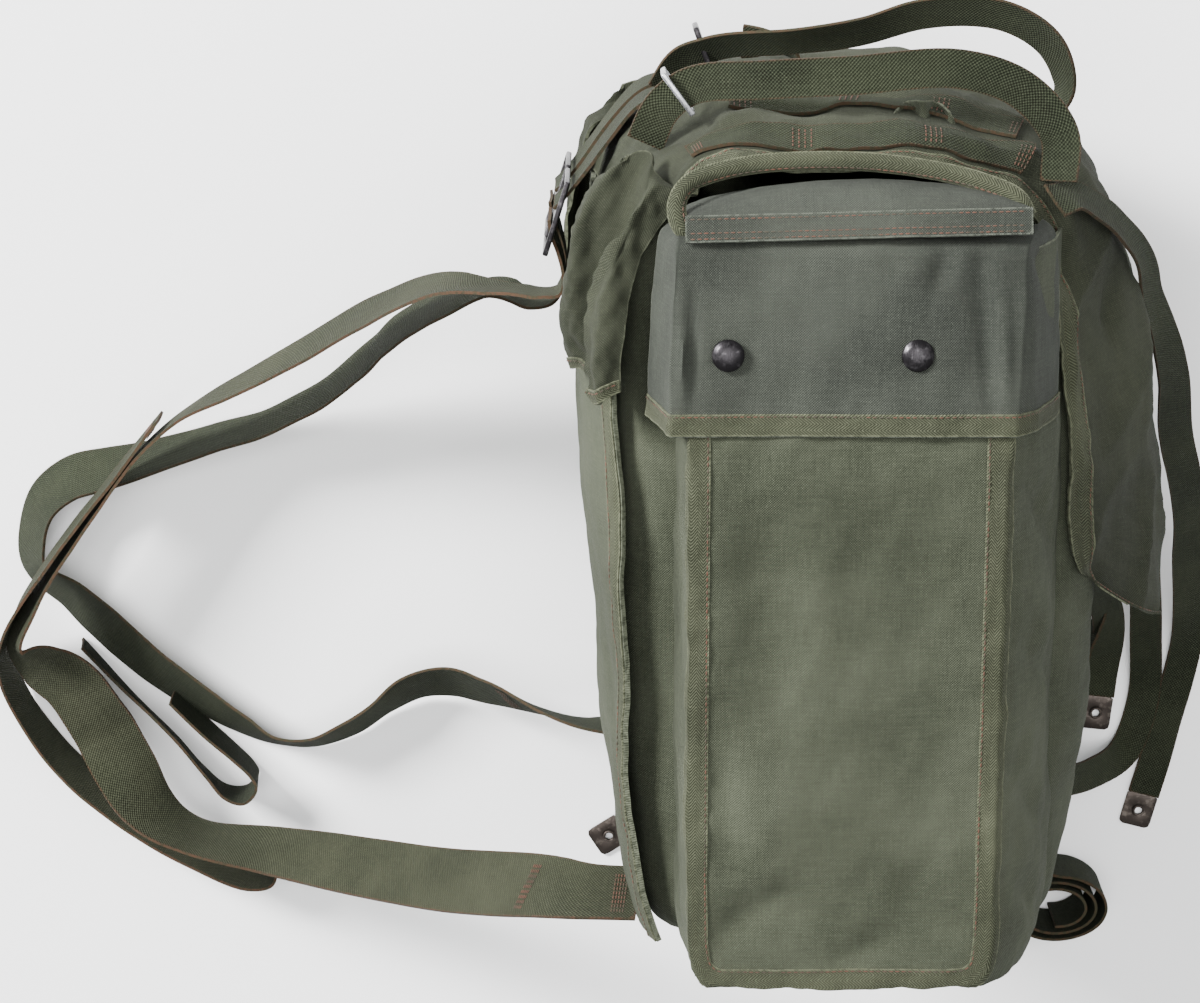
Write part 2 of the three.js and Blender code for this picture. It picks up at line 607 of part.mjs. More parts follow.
function lidBand(path, width, steps) {
  const grid = Array.from({ length: steps + 1 }, (_, r) => {
    const t = r / steps;
    const [v, u] = [read(path, 'v', t), read(path, 'u', t)];
    const half = width / BAG_WIDTH;
    return [-half, 0, half].map((shift) => {
      const step = 0.01;
      const along = lidAt(v + step, u + shift).sub(lidAt(v - step, u + shift));
      const across = lidAt(v, u + shift + step).sub(lidAt(v, u + shift - step));
      const normal = new THREE.Vector3().crossVectors(across, along).normalize();
      if (normal.x + normal.y < 0) normal.negate();
      return lidAt(v, u + shift).addScaledVector(normal, 2 * GAP + WEBBING);
    });
  });
  const heart = new THREE.Vector3(0, BAG_HEIGHT / 2, MIDDLE);
  return sheet(grid, WEBBING, (point) => heart.clone().sub(point));
}

// Places on the lid: v runs from its back edge to its front hem, u from the far to the near side
const SEWN_BAND = table('v u', [[0.13, 0.84], [0.25, 0.85], [0.38, 0.86], [0.49, 0.86]]);
const SEWN_RETURN = table('v u', [[0.20, 0.56], [0.29, 0.58], [0.38, 0.64], [0.47, 0.70]]);

const NEAR_LID_STRAP = overLid([
  [-0.76, 0.845, 0.740, 0], [-0.64, 1.13, 0.750, 0], [-0.36, 1.25, 0.783, 0], [0.0, 1.33, 0.802, 0],
  [0.44, 1.41, 0.802, 0], [0.70, 1.15, 0.797, 0], [0.855, 0.62, 0.80, 8], [0.853, 0.07, 0.809, 30],
]);
const FAR_LID_STRAP = overLid([
  [-0.66, 1.15, 0.526, 0], [-0.56, 1.30, 0.535, 0], [-0.46, 1.38, 0.545, 0], [-0.21, 1.45, 0.564, 12],
  [0.10, 1.58, 0.566, 8], [0.36, 1.80, 0.566, 0], [0.69, 1.79, 0.566, 0], [0.90, 1.42, 0.560, 10],
  [0.975, 0.88, 0.548, 50], [0.945, 0.50, 0.535, 80],
]);
const FAR_LID_TAIL = overLid([
  [-0.40, 1.36, 0.50, 20], [-0.30, 1.34, 0.50, 40], [-0.20, 1.22, 0.49, 70], [-0.14, 1.05, 0.485, 90],
]);

function seatSlider(name, route, at, size) {
  const slider = add(name, makeSlider(size), 'metal');
  const line = routeLine(route);
  const tangent = line.getTangent(at);
  const slot = size * SLOT_MIDDLE;
  const centre = line.getPoint(at);
  centre.z += WEBBING / 2 - slot;
  lay(slider, centre.addScaledVector(tangent, -WIRE / 2), new THREE.Vector3(0, 0, 1), tangent);
}

function makeLidWebbing() {
  add('near_lid_strap', webbing(NEAR_LID_STRAP, NARROW_WEBBING, 30), 'webbing');
  seatSlider('near_lid_slider', NEAR_LID_STRAP, 0.09, NARROW_WEBBING);
  add('far_lid_strap', webbing(FAR_LID_STRAP, NARROW_WEBBING, 34), 'webbing');
  seatSlider('far_lid_slider', FAR_LID_STRAP, 0.10, NARROW_WEBBING);
  add('far_lid_tail', webbing(FAR_LID_TAIL, NARROW_WEBBING, 10), 'webbing');
  add('lid_webbing', lidBand(SEWN_BAND, NARROW_WEBBING, 10), 'webbing');
  add('lid_return', lidBand(SEWN_RETURN, NARROW_WEBBING, 10), 'webbing');
}

// Straps that fall from the lid's front to the surface, with their metal tips

const NEAR_FRONT_STRAP = ahead([
  [-0.105, 0.9875, 0.800, -25], [0.02, 0.966, 0.762, -25], [0.16, 0.926, 0.708, -25],
  [0.28, 0.877, 0.657, -25], [0.351, 0.815, 0.607, -25], [0.45, 0.748, 0.552, -20], [0.533, 0.677, 0.495, -15],
  [0.617, 0.575, 0.393, -5], [0.733, 0.477, 0.298, 0], [0.817, 0.393, 0.214, 0], [0.867, 0.311, 0.135, 0],
  [0.92, 0.227, 0.068, 0], [0.95, 0.146, 0.018, 0], [0.92, 0.077, 0.003, 0], [0.865, 0.01, 0.003, 0],
  [0.817, -0.057, 0.002, 0], [0.767, -0.114, 0.002, 0],
]);
const SECOND_FRONT_STRAP = ahead([
  [0.160, 0.37, 0.345, -10], [0.31, 0.31, 0.25, 0], [0.47, 0.227, 0.12, 0], [0.53, 0.148, 0.03, 0],
  [0.52, 0.09, 0.003, 0], [0.505, 0.049, 0.003, 0],
]);
const FAR_FRONT_STRAP = ahead([
  [-0.085, 1.057, 0.333, 90], [0.155, 0.95, 0.333, 90], [0.315, 0.802, 0.325, 88], [0.43, 0.647, 0.30, 80],
  [0.56, 0.484, 0.235, 60], [0.64, 0.311, 0.135, 40], [0.72, 0.163, 0.035, 20], [0.74, 0.044, 0.003, 10],
  [0.65, -0.035, 0.012, 10], [0.433, -0.05, 0.083, 10], [0.183, -0.03, 0.17, 10], [-0.05, 0.006, 0.225, 0],
]);

function endTip(name, route) {
  const [before, last] = route.slice(-2).map((row) => row.at);
  const along = last.clone().sub(before).setZ(0).normalize();
  const start = last.clone().addScaledVector(along, GAP);
  lay(add(name, makeTip(), 'tip'), start, along, new THREE.Vector3(0, 0, 1));
}

function makeFrontStraps() {
  add('near_front_strap', webbing(NEAR_FRONT_STRAP, NARROW_WEBBING, 44), 'webbing');
  endTip('near_front_tip', NEAR_FRONT_STRAP);
  add('second_front_strap', webbing(SECOND_FRONT_STRAP, NARROW_WEBBING, 16), 'webbing');
  endTip('second_front_tip', SECOND_FRONT_STRAP);
  add('far_front_strap', webbing(FAR_FRONT_STRAP, NARROW_WEBBING, 36), 'webbing');
}

// The waist strap's two halves leave the base low on the far side. One lies rolled up on its
// side, and the other ends in a metal tip behind the back.

const ROLL_MIDDLE = { out: 0.325, up: -0.274 };

function rollRoute() {
  const rows = [];
  const steps = ROLL_TURNS * 8;
  for (let k = 0; k <= steps; k += 1) {
    const angle = Math.PI / 2 - (steps - k) * Math.PI / 4;
    const radius = ROLL_CORE + ROLL_PITCH * k / 8;
    rows.push([
      ROLL_MIDDLE.out + 1.15 * radius * Math.cos(angle) / FRONT_REACH,
      ROLL_MIDDLE.up + radius * Math.sin(angle) / BAG_HEIGHT, 0.004, 90,
    ]);
  }
  rows.push([0.02, -0.19, 0.006, 90], [-0.22, -0.135, 0.05, 90], [-0.42, -0.085, 0.15, 88]);
  rows.push([-0.55, -0.045, 0.198, 90], [-0.56, -0.0045, 0.20, 90]);
  return ahead(rows);
}

const LOW_STRAP = behind([
  [-0.19, -0.0045, 0.20, 90], [-0.189, -0.04, 0.196, 88], [-0.15, -0.085, 0.11, 60],
  [-0.10, -0.125, 0.03, 20],
  [-0.055, -0.152, 0.004, 0], [-0.028, -0.168, 0.004, 0],
]);

function makeWaistStrap() {
  add('rolled_strap', webbing(rollRoute(), WIDE_WEBBING, 66), 'webbing');
  add('low_strap', webbing(LOW_STRAP, NARROW_WEBBING, 16), 'webbing');
  endTip('low_tip', LOW_STRAP);
}

add('body', makeBody(), 'canvas');
add('back_panel', makeBackPanel(), 'canvas');
add('lid', makeLid(), 'flap');
for (const [name, side] of [['near', 1], ['far', -1]]) {
  add(`${name}_pocket`, makePocket(side), 'canvas');
  add(`${name}_flap`, makeFlap(side), 'flap');
  makeCap(`${name}_cap_back`, CAP_MIDDLE - CAP_SPACING / 2, side);
  makeCap(`${name}_cap_front`, CAP_MIDDLE + CAP_SPACING / 2, side);
  add(`${name}_ear`, makeEar(side), 'flap');
}
makeShoulderStraps();
makeAnchor('near', 0.519);
makeAnchor('far', 0.386);
makeLidWebbing();
makeFrontStraps();
makeWaistStrap();

export default rucksack;
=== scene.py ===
# %% [markdown]
# A canvas rucksack on its side
#
# The rucksack is sewn from heavy olive canvas, bound with herringbone tape and carried on
# cotton webbing. It lies on its far side pocket, so the near pocket faces up at the camera.
# Every piece of cloth is one sheet here: a grid is shaped by the cut and the folds of the real
# panel, and then gets its thickness. Tapes, stitches, webbing and metal are laid on after it.

import math

import bpy
import numpy as np
from mathutils import Matrix, Vector

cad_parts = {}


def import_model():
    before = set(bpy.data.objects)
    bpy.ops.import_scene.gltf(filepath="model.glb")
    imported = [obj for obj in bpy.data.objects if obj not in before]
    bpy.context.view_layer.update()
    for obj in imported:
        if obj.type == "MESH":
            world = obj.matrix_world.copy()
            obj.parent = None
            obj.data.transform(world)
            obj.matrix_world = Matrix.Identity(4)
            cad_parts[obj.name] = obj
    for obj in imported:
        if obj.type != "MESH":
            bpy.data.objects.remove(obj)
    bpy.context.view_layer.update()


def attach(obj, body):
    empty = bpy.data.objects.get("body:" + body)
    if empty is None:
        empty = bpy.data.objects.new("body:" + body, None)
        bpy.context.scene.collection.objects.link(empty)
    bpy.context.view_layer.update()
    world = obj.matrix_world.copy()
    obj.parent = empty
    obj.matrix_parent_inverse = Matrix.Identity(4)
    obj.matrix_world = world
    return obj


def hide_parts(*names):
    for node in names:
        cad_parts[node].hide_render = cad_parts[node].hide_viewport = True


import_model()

# %% [markdown]
# Camera
#
# The picture is taken from 1.95 m above, tilted a little towards the top of the bag, so the
# camera is made first and everything else can be judged through it. A long lens keeps the
# near pocket and the floor at almost the same size.

# %% The camera, at the picture's angle
CAMERA_TARGET = Vector((-0.127, 0.073, 0.210))
CAMERA_DISTANCE = 1.95
CAMERA_TILT = math.radians(15)
LENS = 104.1

bpy.ops.object.camera_add(
    location=CAMERA_TARGET
    + CAMERA_DISTANCE * Vector((0, math.sin(CAMERA_TILT), math.cos(CAMERA_TILT))),
    rotation=(-CAMERA_TILT, 0, 0),
)
camera = bpy.context.object
camera.data.lens = LENS
camera.data.sensor_width = 36
bpy.context.scene.camera = camera

# %% [markdown]
# Sizes
#
# The bag's own coordinates are easier to think in than the floor's: x from the wearer's back to
# the front, h up the bag and z across it, in millimetres. One function turns them into metres
# in the frame that all pieces share.

# %% Sizes of the bag, in millimetres
BAG_HEIGHT, BAG_DEPTH, BAG_WIDTH = 405, 250, 296
FRONT_SHIFT = 3
FRONT_CORNER, BACK_CORNER = 52, 34
POCKET_DEPTH, POCKET_HEIGHT = 61.6, 390
POCKET_BACK, POCKET_FRONT, POCKET_DROP = -88, 112, 4
FLAP_HEM, FLAP_TOP = 296, 400
GAP = 0.4
CLOTH, WEBBING = 1.8, 1.7
WIDE, NARROW = 40, 20
STRAP_REACH, FRONT_REACH, LID_RISE = 370, 120, 42
MIDDLE = BAG_WIDTH / 2 + GAP + POCKET_DEPTH
SPAN = 2 * MIDDLE
BACK, FRONT = FRONT_SHIFT - BAG_DEPTH / 2, FRONT_SHIFT + BAG_DEPTH / 2
REST_HEIGHT = 130
HEART = np.array((FRONT_SHIFT, BAG_HEIGHT / 2, MIDDLE))


def world(points):
    """Bag millimetres to frame metres; cloth that would sink into the floor lies on it."""
    moved = (np.asarray(points, float) - (0, REST_HEIGHT, 0)) / 1000
    moved[..., 2] = np.maximum(moved[..., 2], 0.0002)
    return moved


def unit(vectors):
    return vectors / np.maximum(np.linalg.norm(vectors, axis=-1, keepdims=True), 1e-9)


# %% Tables with named columns, read smoothly between their rows
def table(columns, rows):
    return {name: np.array([row[k] for row in rows], float) for k, name in enumerate(columns.split())}


def read(values, t):
    place = np.clip(t, 0, 1) * (len(values) - 1)
    k = np.minimum(place.astype(int), len(values) - 2)
    s = place - k
    a, b, c, d = (values[np.clip(k + step, 0, len(values) - 1)] for step in (-1, 0, 1, 2))
    return b + 0.5 * ((c - a) * s + (2 * a - 5 * b + 4 * c - d) * s**2 + (3 * b - a - 3 * c + d) * s**3)


def run_along(points):
    """The distance of each point from the first one, along the line."""
    return np.concatenate([[0], np.cumsum(np.linalg.norm(np.diff(points, axis=0), axis=1))])


def at_marks(marks, run, values):
    """Rows of values, read where the distance run reaches each mark."""
    return np.stack([np.interp(marks, run, column) for column in values.T], axis=-1)


def grid(left, right, top, columns, rows):
    """Places across and up a flat cloth that starts at 0 and ends at top."""
    return np.meshgrid(np.linspace(left, right, columns), np.linspace(0, top, rows))


# %% [markdown]
# Colour and nodes
#
# Cloth colours are given as sRGB values. Blender's sockets want linear numbers, so one
# function converts them. A second small function adds a node, sets it and links it, which
# keeps each material short enough to read.

# %% Colour and node helpers
def linear(hex_colour):
    parts = [int(hex_colour[k : k + 2], 16) / 255 for k in (1, 3, 5)]
    return (*[p / 12.92 if p <= 0.04045 else ((p + 0.055) / 1.055) ** 2.4 for p in parts], 1)


def fill(tree, node, inputs):
    """Links the inputs that are sockets, and sets those that are constants."""
    for socket, value in inputs.items():
        if isinstance(value, bpy.types.NodeSocket):
            tree.links.new(value, node.inputs[socket])
        else:
            node.inputs[socket].default_value = value


def add_node(tree, kind, inputs=None, **settings):
    made = tree.nodes.new(kind)
    for name, value in settings.items():
        setattr(made, name, value)
    fill(tree, made, inputs or {})
    return made


def math_node(tree, operation, a, b=0.0, c=0.0):
    return add_node(tree, "ShaderNodeMath", {0: a, 1: b, 2: c}, operation=operation).outputs[0]


def mix_colour(tree, share, a, b):
    return add_node(tree, "ShaderNodeMix", {0: share, 6: a, 7: b}, data_type="RGBA").outputs[2]


def noise(tree, place, scale, detail):
    return add_node(
        tree, "ShaderNodeTexNoise", {"Vector": place, "Scale": scale, "Detail": detail}).outputs[0]


def scaled(tree, place, factors):
    return add_node(tree, "ShaderNodeVectorMath", {0: place, 1: factors}, operation="MULTIPLY").outputs[0]


def fade(tree, value, low, high, out_low=0.0, out_high=1.0):
    return add_node(tree, "ShaderNodeMapRange", {
        "Value": value, "From Min": low, "From Max": high, "To Min": out_low, "To Max": out_high,
    }, interpolation_type="SMOOTHSTEP").outputs[0]


def new_material(name):
    """A material with its node tree and its shader."""
    material = bpy.data.materials.new(name)
    material.use_nodes = True
    return material, material.node_tree, material.node_tree.nodes["Principled BSDF"]


# %% [markdown]
# Canvas
#
# The real cloth is a plain-woven cotton canvas with uneven threads, dyed olive and faded by
# use. Its threads are about half a millimetre apart, which is as fine as the picture can show, so
# the weave repeats every 1.3 mm. Each sheet carries a UV map in metres of flat cloth, and the
# weave follows that, so it bends with the folds. An attribute holds the distance from the
# sheet's edge, where the cloth is rubbed pale.

# %% The threads, and the cloth that is woven from them
WEAVE_MM, WEBBING_WEAVE_MM, TWILL_MM = 1.3, 2.0, 1.7
HERRINGBONE_M = 0.003
SLUB_THIN, SLUB_LONG = 900, 55


def weave(tree, across, along, period_mm, twill):
    """From -1 to 1 over each thread: a checker of bumps, or diagonals that turn back in twill."""
    turns = 2 * math.pi * 1000 / period_mm
    if twill:
        slant = math_node(tree, "PINGPONG", across, HERRINGBONE_M)
        diagonal = math_node(tree, "ADD", along, math_node(tree, "MULTIPLY", slant, 1.3))
        return math_node(tree, "SINE", math_node(tree, "MULTIPLY", diagonal, turns))
    over, under = (
        math_node(tree, "SINE", math_node(tree, "MULTIPLY", way, turns)) for way in (across, along))
    return math_node(tree, "MULTIPLY", over, under)


def woven(name, dark, light, pale, period_mm, relief_mm, twill=False, selvedge=None, fade_mm=1.2):
    """A woven cotton: threads go over and under, with slubs, fading and rubbed edges."""
    material, tree, shader = new_material(name)
    uv = add_node(tree, "ShaderNodeUVMap", uv_map="cloth").outputs[0]
    place = add_node(tree, "ShaderNodeTexCoord").outputs["Object"]
    flat = add_node(tree, "ShaderNodeSeparateXYZ", {0: uv})
    wave = weave(tree, flat.outputs[0], flat.outputs[1], period_mm, twill)
    slubs = math_node(tree, "ADD", *(
        noise(tree, scaled(tree, uv, factors), 1.0, 2.0)
        for factors in ((SLUB_THIN, SLUB_LONG, 1), (SLUB_LONG, SLUB_THIN, 1))))
    flecks = noise(tree, uv, 900 / period_mm, 1.0)
    mottle, specks = noise(tree, place, 14.0, 5.0), noise(tree, place, 420.0, 1.0)
    # Painted shade between the threads and lighter colour on their tops, mixed with the threads' own uneven
    # tone, then paler in patches, flecks and along rubbed edges
    threads = math_node(tree, "MULTIPLY_ADD", wave, 0.42, math_node(
        tree, "MULTIPLY_ADD", slubs, 0.42, math_node(tree, "MULTIPLY", specks, 0.25)))
    colour = mix_colour(tree, fade(tree, threads, 0.10, 1.05), linear(dark), linear(light))
    colour = mix_colour(tree, fade(tree, mottle, 0.35, 0.75, 0.0, 0.25), colour, linear(pale))
    dots = math_node(
        tree, "MULTIPLY", fade(tree, flecks, 0.52, 0.72), fade(tree, wave, 0.0, 0.8, 0.0, 0.6))
    colour = mix_colour(tree, dots, colour, linear(pale))
    rim = add_node(tree, "ShaderNodeAttribute", attribute_name="rim").outputs["Fac"]
    worn = math_node(
        tree, "MULTIPLY", fade(tree, rim, fade_mm, 0.0), fade(tree, specks, 0.35, 0.6, 0.25, 0.9))
    # The threads stand up, and the surface is matt with hardly any shine
    height = math_node(tree, "MULTIPLY_ADD", wave, 0.5, math_node(tree, "MULTIPLY", slubs, 0.6))
    bump = add_node(tree, "ShaderNodeBump", {
        "Height": height, "Strength": 0.8, "Distance": relief_mm / 1000})
    fill(tree, shader, {
        "Base Color": mix_colour(tree, worn, colour, linear(selvedge or pale)),
        "Normal": bump.outputs[0], "Roughness": fade(tree, mottle, 0.3, 0.7, 0.86, 0.96),
        "Sheen Weight": 0.015, "Sheen Roughness": 0.4, "Specular IOR Level": 0.08})
    return material


# %% The cloths of the rucksack
# Pale threads on a dark ground: from a distance a warm olive, close up a fine grain
canvas = woven("olive cotton canvas", "#20231b", "#43473a", "#5e6253", WEAVE_MM, 0.5)
# The flaps have lost more of their yellow, so they read cooler and greyer than the pockets
flap_canvas = woven("grey green cotton canvas", "#1d1f1c", "#3b3e38", "#565a51", WEAVE_MM, 0.5)
# Browner, and darker as painted shade: the eye takes the lid and the ears as lying deeper
lid_canvas_painted_shade = woven("lid canvas darkened as painted shade", "#191b15", "#34372c", "#4c4f41", WEAVE_MM, 0.5)
# Small chevrons catch the light in turns, so a bound edge looks ribbed
tape_cloth = woven("herringbone cotton tape", "#202219", "#414436", "#5a5d4b", TWILL_MM, 0.45, twill=True)
# Coarse and deep: dots of shadow between thick yarns, with a brown selvedge as a thin outline
webbing_cloth = woven(
    "olive cotton webbing", "#11130c", "#303528", "#444838", WEBBING_WEAVE_MM, 1.1,
    selvedge="#382c21", fade_mm=1.1)
# The same yarns, rubbed: lighter, with a wider brown edge
worn_webbing = woven(
    "faded strap webbing", "#15170f", "#373a2c", "#4b4d3d", WEBBING_WEAVE_MM, 1.1,
    selvedge="#402f24", fade_mm=1.4)

# %% [markdown]
# Metal and thread
#
# The snap caps and sliders are steel with a dark gunmetal finish, rubbed brighter in patches
# where they are handled. The near loop slider is painted nearly white instead, a painted
# reflection of the lights. The strap tips are nickel-plated brass gone dull. The seams are sewn
# with a thick polished cotton thread that has faded from olive to rust.

# %% The metals and the thread
def metal(name, colour, bright, roughness):
    """A plated metal: clouds of grime, and scratches that change how sharply it shines."""
    material, tree, shader = new_material(name)
    place = add_node(tree, "ShaderNodeTexCoord").outputs["Object"]
    grime = noise(tree, place, 260.0, 6.0)
    scratches = noise(tree, scaled(tree, place, (2600, 300, 900)), 1.0, 3.0)
    bump = add_node(tree, "ShaderNodeBump", {"Height": grime, "Strength": 0.35, "Distance": 0.0002})
    fill(tree, shader, {
        "Base Color": mix_colour(tree, fade(tree, grime, 0.5, 0.72), linear(colour), linear(bright)),
        "Roughness": fade(tree, scratches, 0.3, 0.7, roughness - 0.08, roughness + 0.14),
        "Normal": bump.outputs[0], "Metallic": 0.85})
    return material


# Nearly black, with soft grey glints on domes and bars
gunmetal = metal("gunmetal plated steel", "#262426", "#464446", 0.34)
# Brown and cloudy, which reads as old metal beside the green
nickel = metal("dull nickel plated brass", "#38322e", "#57504a", 0.38)
# The one bright spot: colour painted near white as a reflection of the lights
nickel_painted_reflection = metal("nickel plated steel with painted reflection", "#8d8e90", "#c4c6c8", 0.25)

# Dry thread, olive here and rust there, draws the seams as thin warm lines
thread, thread_tree, thread_shader = new_material("rust faded cotton thread")
patches = noise(thread_tree, add_node(thread_tree, "ShaderNodeTexCoord").outputs["Object"], 90.0, 3.0)
fill(thread_tree, thread_shader, {
    "Base Color": mix_colour(
        thread_tree, fade(thread_tree, patches, 0.35, 0.65), linear("#2c281c"), linear("#4c2d1e")),
    "Roughness": 0.8})

# %% [markdown]
# One sheet of cloth
#
# A grid primitive is the flat cloth. Its points are then put where the panel's cut and folds
# send them, its UV map is set to the real lengths along the cloth, and Solidify gives it the
# thickness that its cut edges show.

# %% Starting, editing and finishing an object
SMOOTH_ANGLE = math.radians(60)
MADE = []


def start(primitive, name, **settings):
    """A new object from a mesh primitive, with everything else deselected."""
    bpy.ops.object.select_all(action="DESELECT")
    primitive(**settings)
    bpy.context.object.name = name
    return bpy.context.object


def edit_all():
    bpy.ops.object.mode_set(mode="EDIT")
    bpy.ops.mesh.select_all(action="SELECT")


def leave_edit():
    bpy.ops.object.mode_set(mode="OBJECT")


def apply_modifier(piece, kind, **settings):
    made = piece.modifiers.new(kind.lower(), kind)
    for name, value in settings.items():
        setattr(made, name, value)
    bpy.ops.object.modifier_apply(modifier=made.name)


def settle(piece, material, nodes):
    """Gives a finished piece its material, its body and the solids that it stands for."""
    piece.data.materials.clear()
    piece.data.materials.append(material)
    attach(piece, "root")
    if nodes:
        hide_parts(*nodes)
    MADE.append(piece)
    print(piece.name, len(piece.data.polygons), "faces")
    return piece


# %% How a sheet is made from a surface of points
WELD = 0.00002


def outward_normals(surface, heart=HEART):
    normals = unit(np.cross(np.gradient(surface, axis=1), np.gradient(surface, axis=0)))
    if np.sum(normals * (surface - heart)) < 0:
        normals = -normals
    return normals


def lengths(surface, axis):
    steps = np.linalg.norm(np.diff(surface, axis=axis), axis=-1).mean(axis=1 - axis)
    return np.concatenate([[0], np.cumsum(steps)])


def flat_size(surface):
    """Width and length in metres that the cloth of a surface had before it was shaped."""
    return lengths(surface, 1)[-1] / 1000, lengths(surface, 0)[-1] / 1000


def lay_out(mesh, surface, r, c, closed):
    """The UV map in metres of flat cloth, and the distance from the sheet's edge in mm."""
    across, along = lengths(surface, 1), lengths(surface, 0)
    rim = np.minimum(along[r], along[-1] - along[r])
    if not closed:
        rim = np.minimum(rim, np.minimum(across[c], across[-1] - across[c]))
    mesh.attributes.new("rim", "FLOAT", "POINT").data.foreach_set("value", rim.astype(np.float32))
    corner = np.empty(len(mesh.loops), np.int32)
    mesh.loops.foreach_get("vertex_index", corner)
    uv = np.stack([across[c[corner]], along[r[corner]]], axis=1) / 1000
    layer = mesh.uv_layers[0] if mesh.uv_layers else mesh.uv_layers.new()
    layer.name = "cloth"
    layer.data.foreach_set("uv", uv.astype(np.float32).ravel())
    mesh.update()


def face_outwards(mesh, out):
    """Turns the faces over if they look against out, which has a direction for each vertex."""
    face_normals = np.empty(len(mesh.polygons) * 3)
    mesh.polygons.foreach_get("normal", face_normals)
    first = np.array([p.vertices[0] for p in mesh.polygons])
    if np.sum(face_normals.reshape(-1, 3) * out[first]) < 0:
        mesh.flip_normals()


# %% The sheet itself
def sheet(name, surface, material, nodes=(), wall=CLOTH, heart=HEART, offset=-1.0, closed=False,
          normals=None):
    """A sheet of cloth through surface, rows by columns of points in bag millimetres."""
    rows, columns = surface.shape[:2]
    piece = start(bpy.ops.mesh.primitive_grid_add, name,
                  x_subdivisions=columns - 1, y_subdivisions=rows - 1, size=1)
    mesh = piece.data
    mesh.name = name
    flat = np.empty(len(mesh.vertices) * 3)
    mesh.vertices.foreach_get("co", flat)
    c = np.rint((flat[0::3] + 0.5) * (columns - 1)).astype(int)
    r = np.rint((flat[1::3] + 0.5) * (rows - 1)).astype(int)
    mesh.vertices.foreach_set("co", world(surface[r, c]).astype(np.float32).ravel())
    lay_out(mesh, surface, r, c, closed)
    out = outward_normals(surface, heart) if normals is None else normals
    face_outwards(mesh, out[r, c])
    if closed:
        edit_all()
        bpy.ops.mesh.remove_doubles(threshold=WELD)
        leave_edit()
    apply_modifier(piece, "SOLIDIFY", thickness=wall / 1000, offset=offset)
    bpy.ops.object.shade_smooth_by_angle(angle=SMOOTH_ANGLE)
    return settle(piece, material, nodes)


# %% [markdown]
# Folds
#
# Canvas that has been packed and used keeps two kinds of unevenness: shallow hollows a hand
# wide, and sharp folds where it was pulled. The first is a sum of slow waves in random
# directions, from a fixed seed. The second is drawn one fold at a time, as a valley or ridge
# along a line.

# %% Unevenness and folds
def uneven(points, size, seed):
    """From about -1 to 1, with hollows about size millimetres apart."""
    draw = np.random.default_rng(seed)
    total = 0
    for _ in range(9):
        direction = unit(draw.normal(size=3))
        total = total + np.sin(
            points @ direction * 2 * np.pi / (size * draw.uniform(0.75, 1.7)) + draw.uniform(0, 2 * np.pi))
    return total / 4.0


FOLD_DEPTH = 1.35
HOLLOW, BUCKLE, CRUMPLE = 75, 24, 9


def fold(points, start, end, width, depth):
    """A valley (depth below 0) or ridge along the line from start to end, faded at its ends."""
    start, end = np.asarray(start, float), np.asarray(end, float)
    line = end - start
    share = np.clip((points - start) @ line / (line @ line), 0, 1)
    away = np.linalg.norm(points - (start + share[..., None] * line), axis=-1)
    ends = np.sin(np.pi * np.clip(share, 0.04, 0.96)) ** 0.6
    return FOLD_DEPTH * depth * np.exp(-((away / width) ** 2)) * ends


def rumple(seed, wide, fine, folds=(), grain=(1, 1, 1)):
    """The height of the cloth above its smooth form, at any point of it."""
    def depth(points):
        total = wide * uneven(points, HOLLOW, seed)
        total = total + fine * uneven(points * np.array(grain), BUCKLE, seed + 1)
        total = total + 0.35 * fine * uneven(points, CRUMPLE, seed + 2)
        for start, end, width, height in folds:
            total = total + fold(points, start, end, width, height)
        return total
    return depth


def crumpled(depth, seed, size, height, grain):
    """Adds creases: ridges that are sharp along one direction of the cloth."""
    def crumpled_depth(points):
        creases = 1 - 2 * np.abs(np.tanh(1.6 * uneven(points * np.array(grain), size, seed)))
        return depth(points) + height * creases
    return crumpled_depth


def rumpled(surface, depth, heart=HEART):
    return surface + outward_normals(surface, heart) * depth(surface)[..., None]


# %% [markdown]
# Tapes and stitches
#
# Raw canvas edges are bound with a tape, 9 to 15 mm wide, that is sewn down over them. A tape
# is a narrow sheet that follows a path on its panel, a little above it. Stitches are small
# spindles of thread, 3.3 mm apart: one is modelled and then copied along the seam.

# %% A band on a surface, and its stitches
STITCH_MM, STITCH_GAP_MM, THREAD_MM = 2.5, 3.3, 0.42
SEAMS = []


def resampled(path, step):
    path = np.asarray(path, float)
    run = run_along(path)
    return at_marks(np.linspace(0, run[-1], max(int(run[-1] / step), 2) + 1), run, path)


def beside(path, offset):
    """Points of the path in the flat cloth, shifted sideways."""
    way = unit(np.gradient(path, axis=0))
    return path + offset * np.stack([-way[:, 1], way[:, 0]], axis=1)


def level(points):
    return np.zeros(points.shape[:-1])


def lifted(place, path, offset, lift, heart, depth=level):
    points = beside(path, offset)
    here = place(points[:, 0], points[:, 1])
    du = place(points[:, 0] + 0.5, points[:, 1]) - place(points[:, 0] - 0.5, points[:, 1])
    dv = place(points[:, 0], points[:, 1] + 0.5) - place(points[:, 0], points[:, 1] - 0.5)
    normal = unit(np.cross(du, dv))
    facing = np.sign(np.sum(normal * (here - heart), axis=-1, keepdims=True))
    if np.abs(facing.sum()) < len(facing):
        facing = np.sign(facing.sum() or 1)
    return here + normal * facing * (lift + depth(here))[..., None], normal * facing


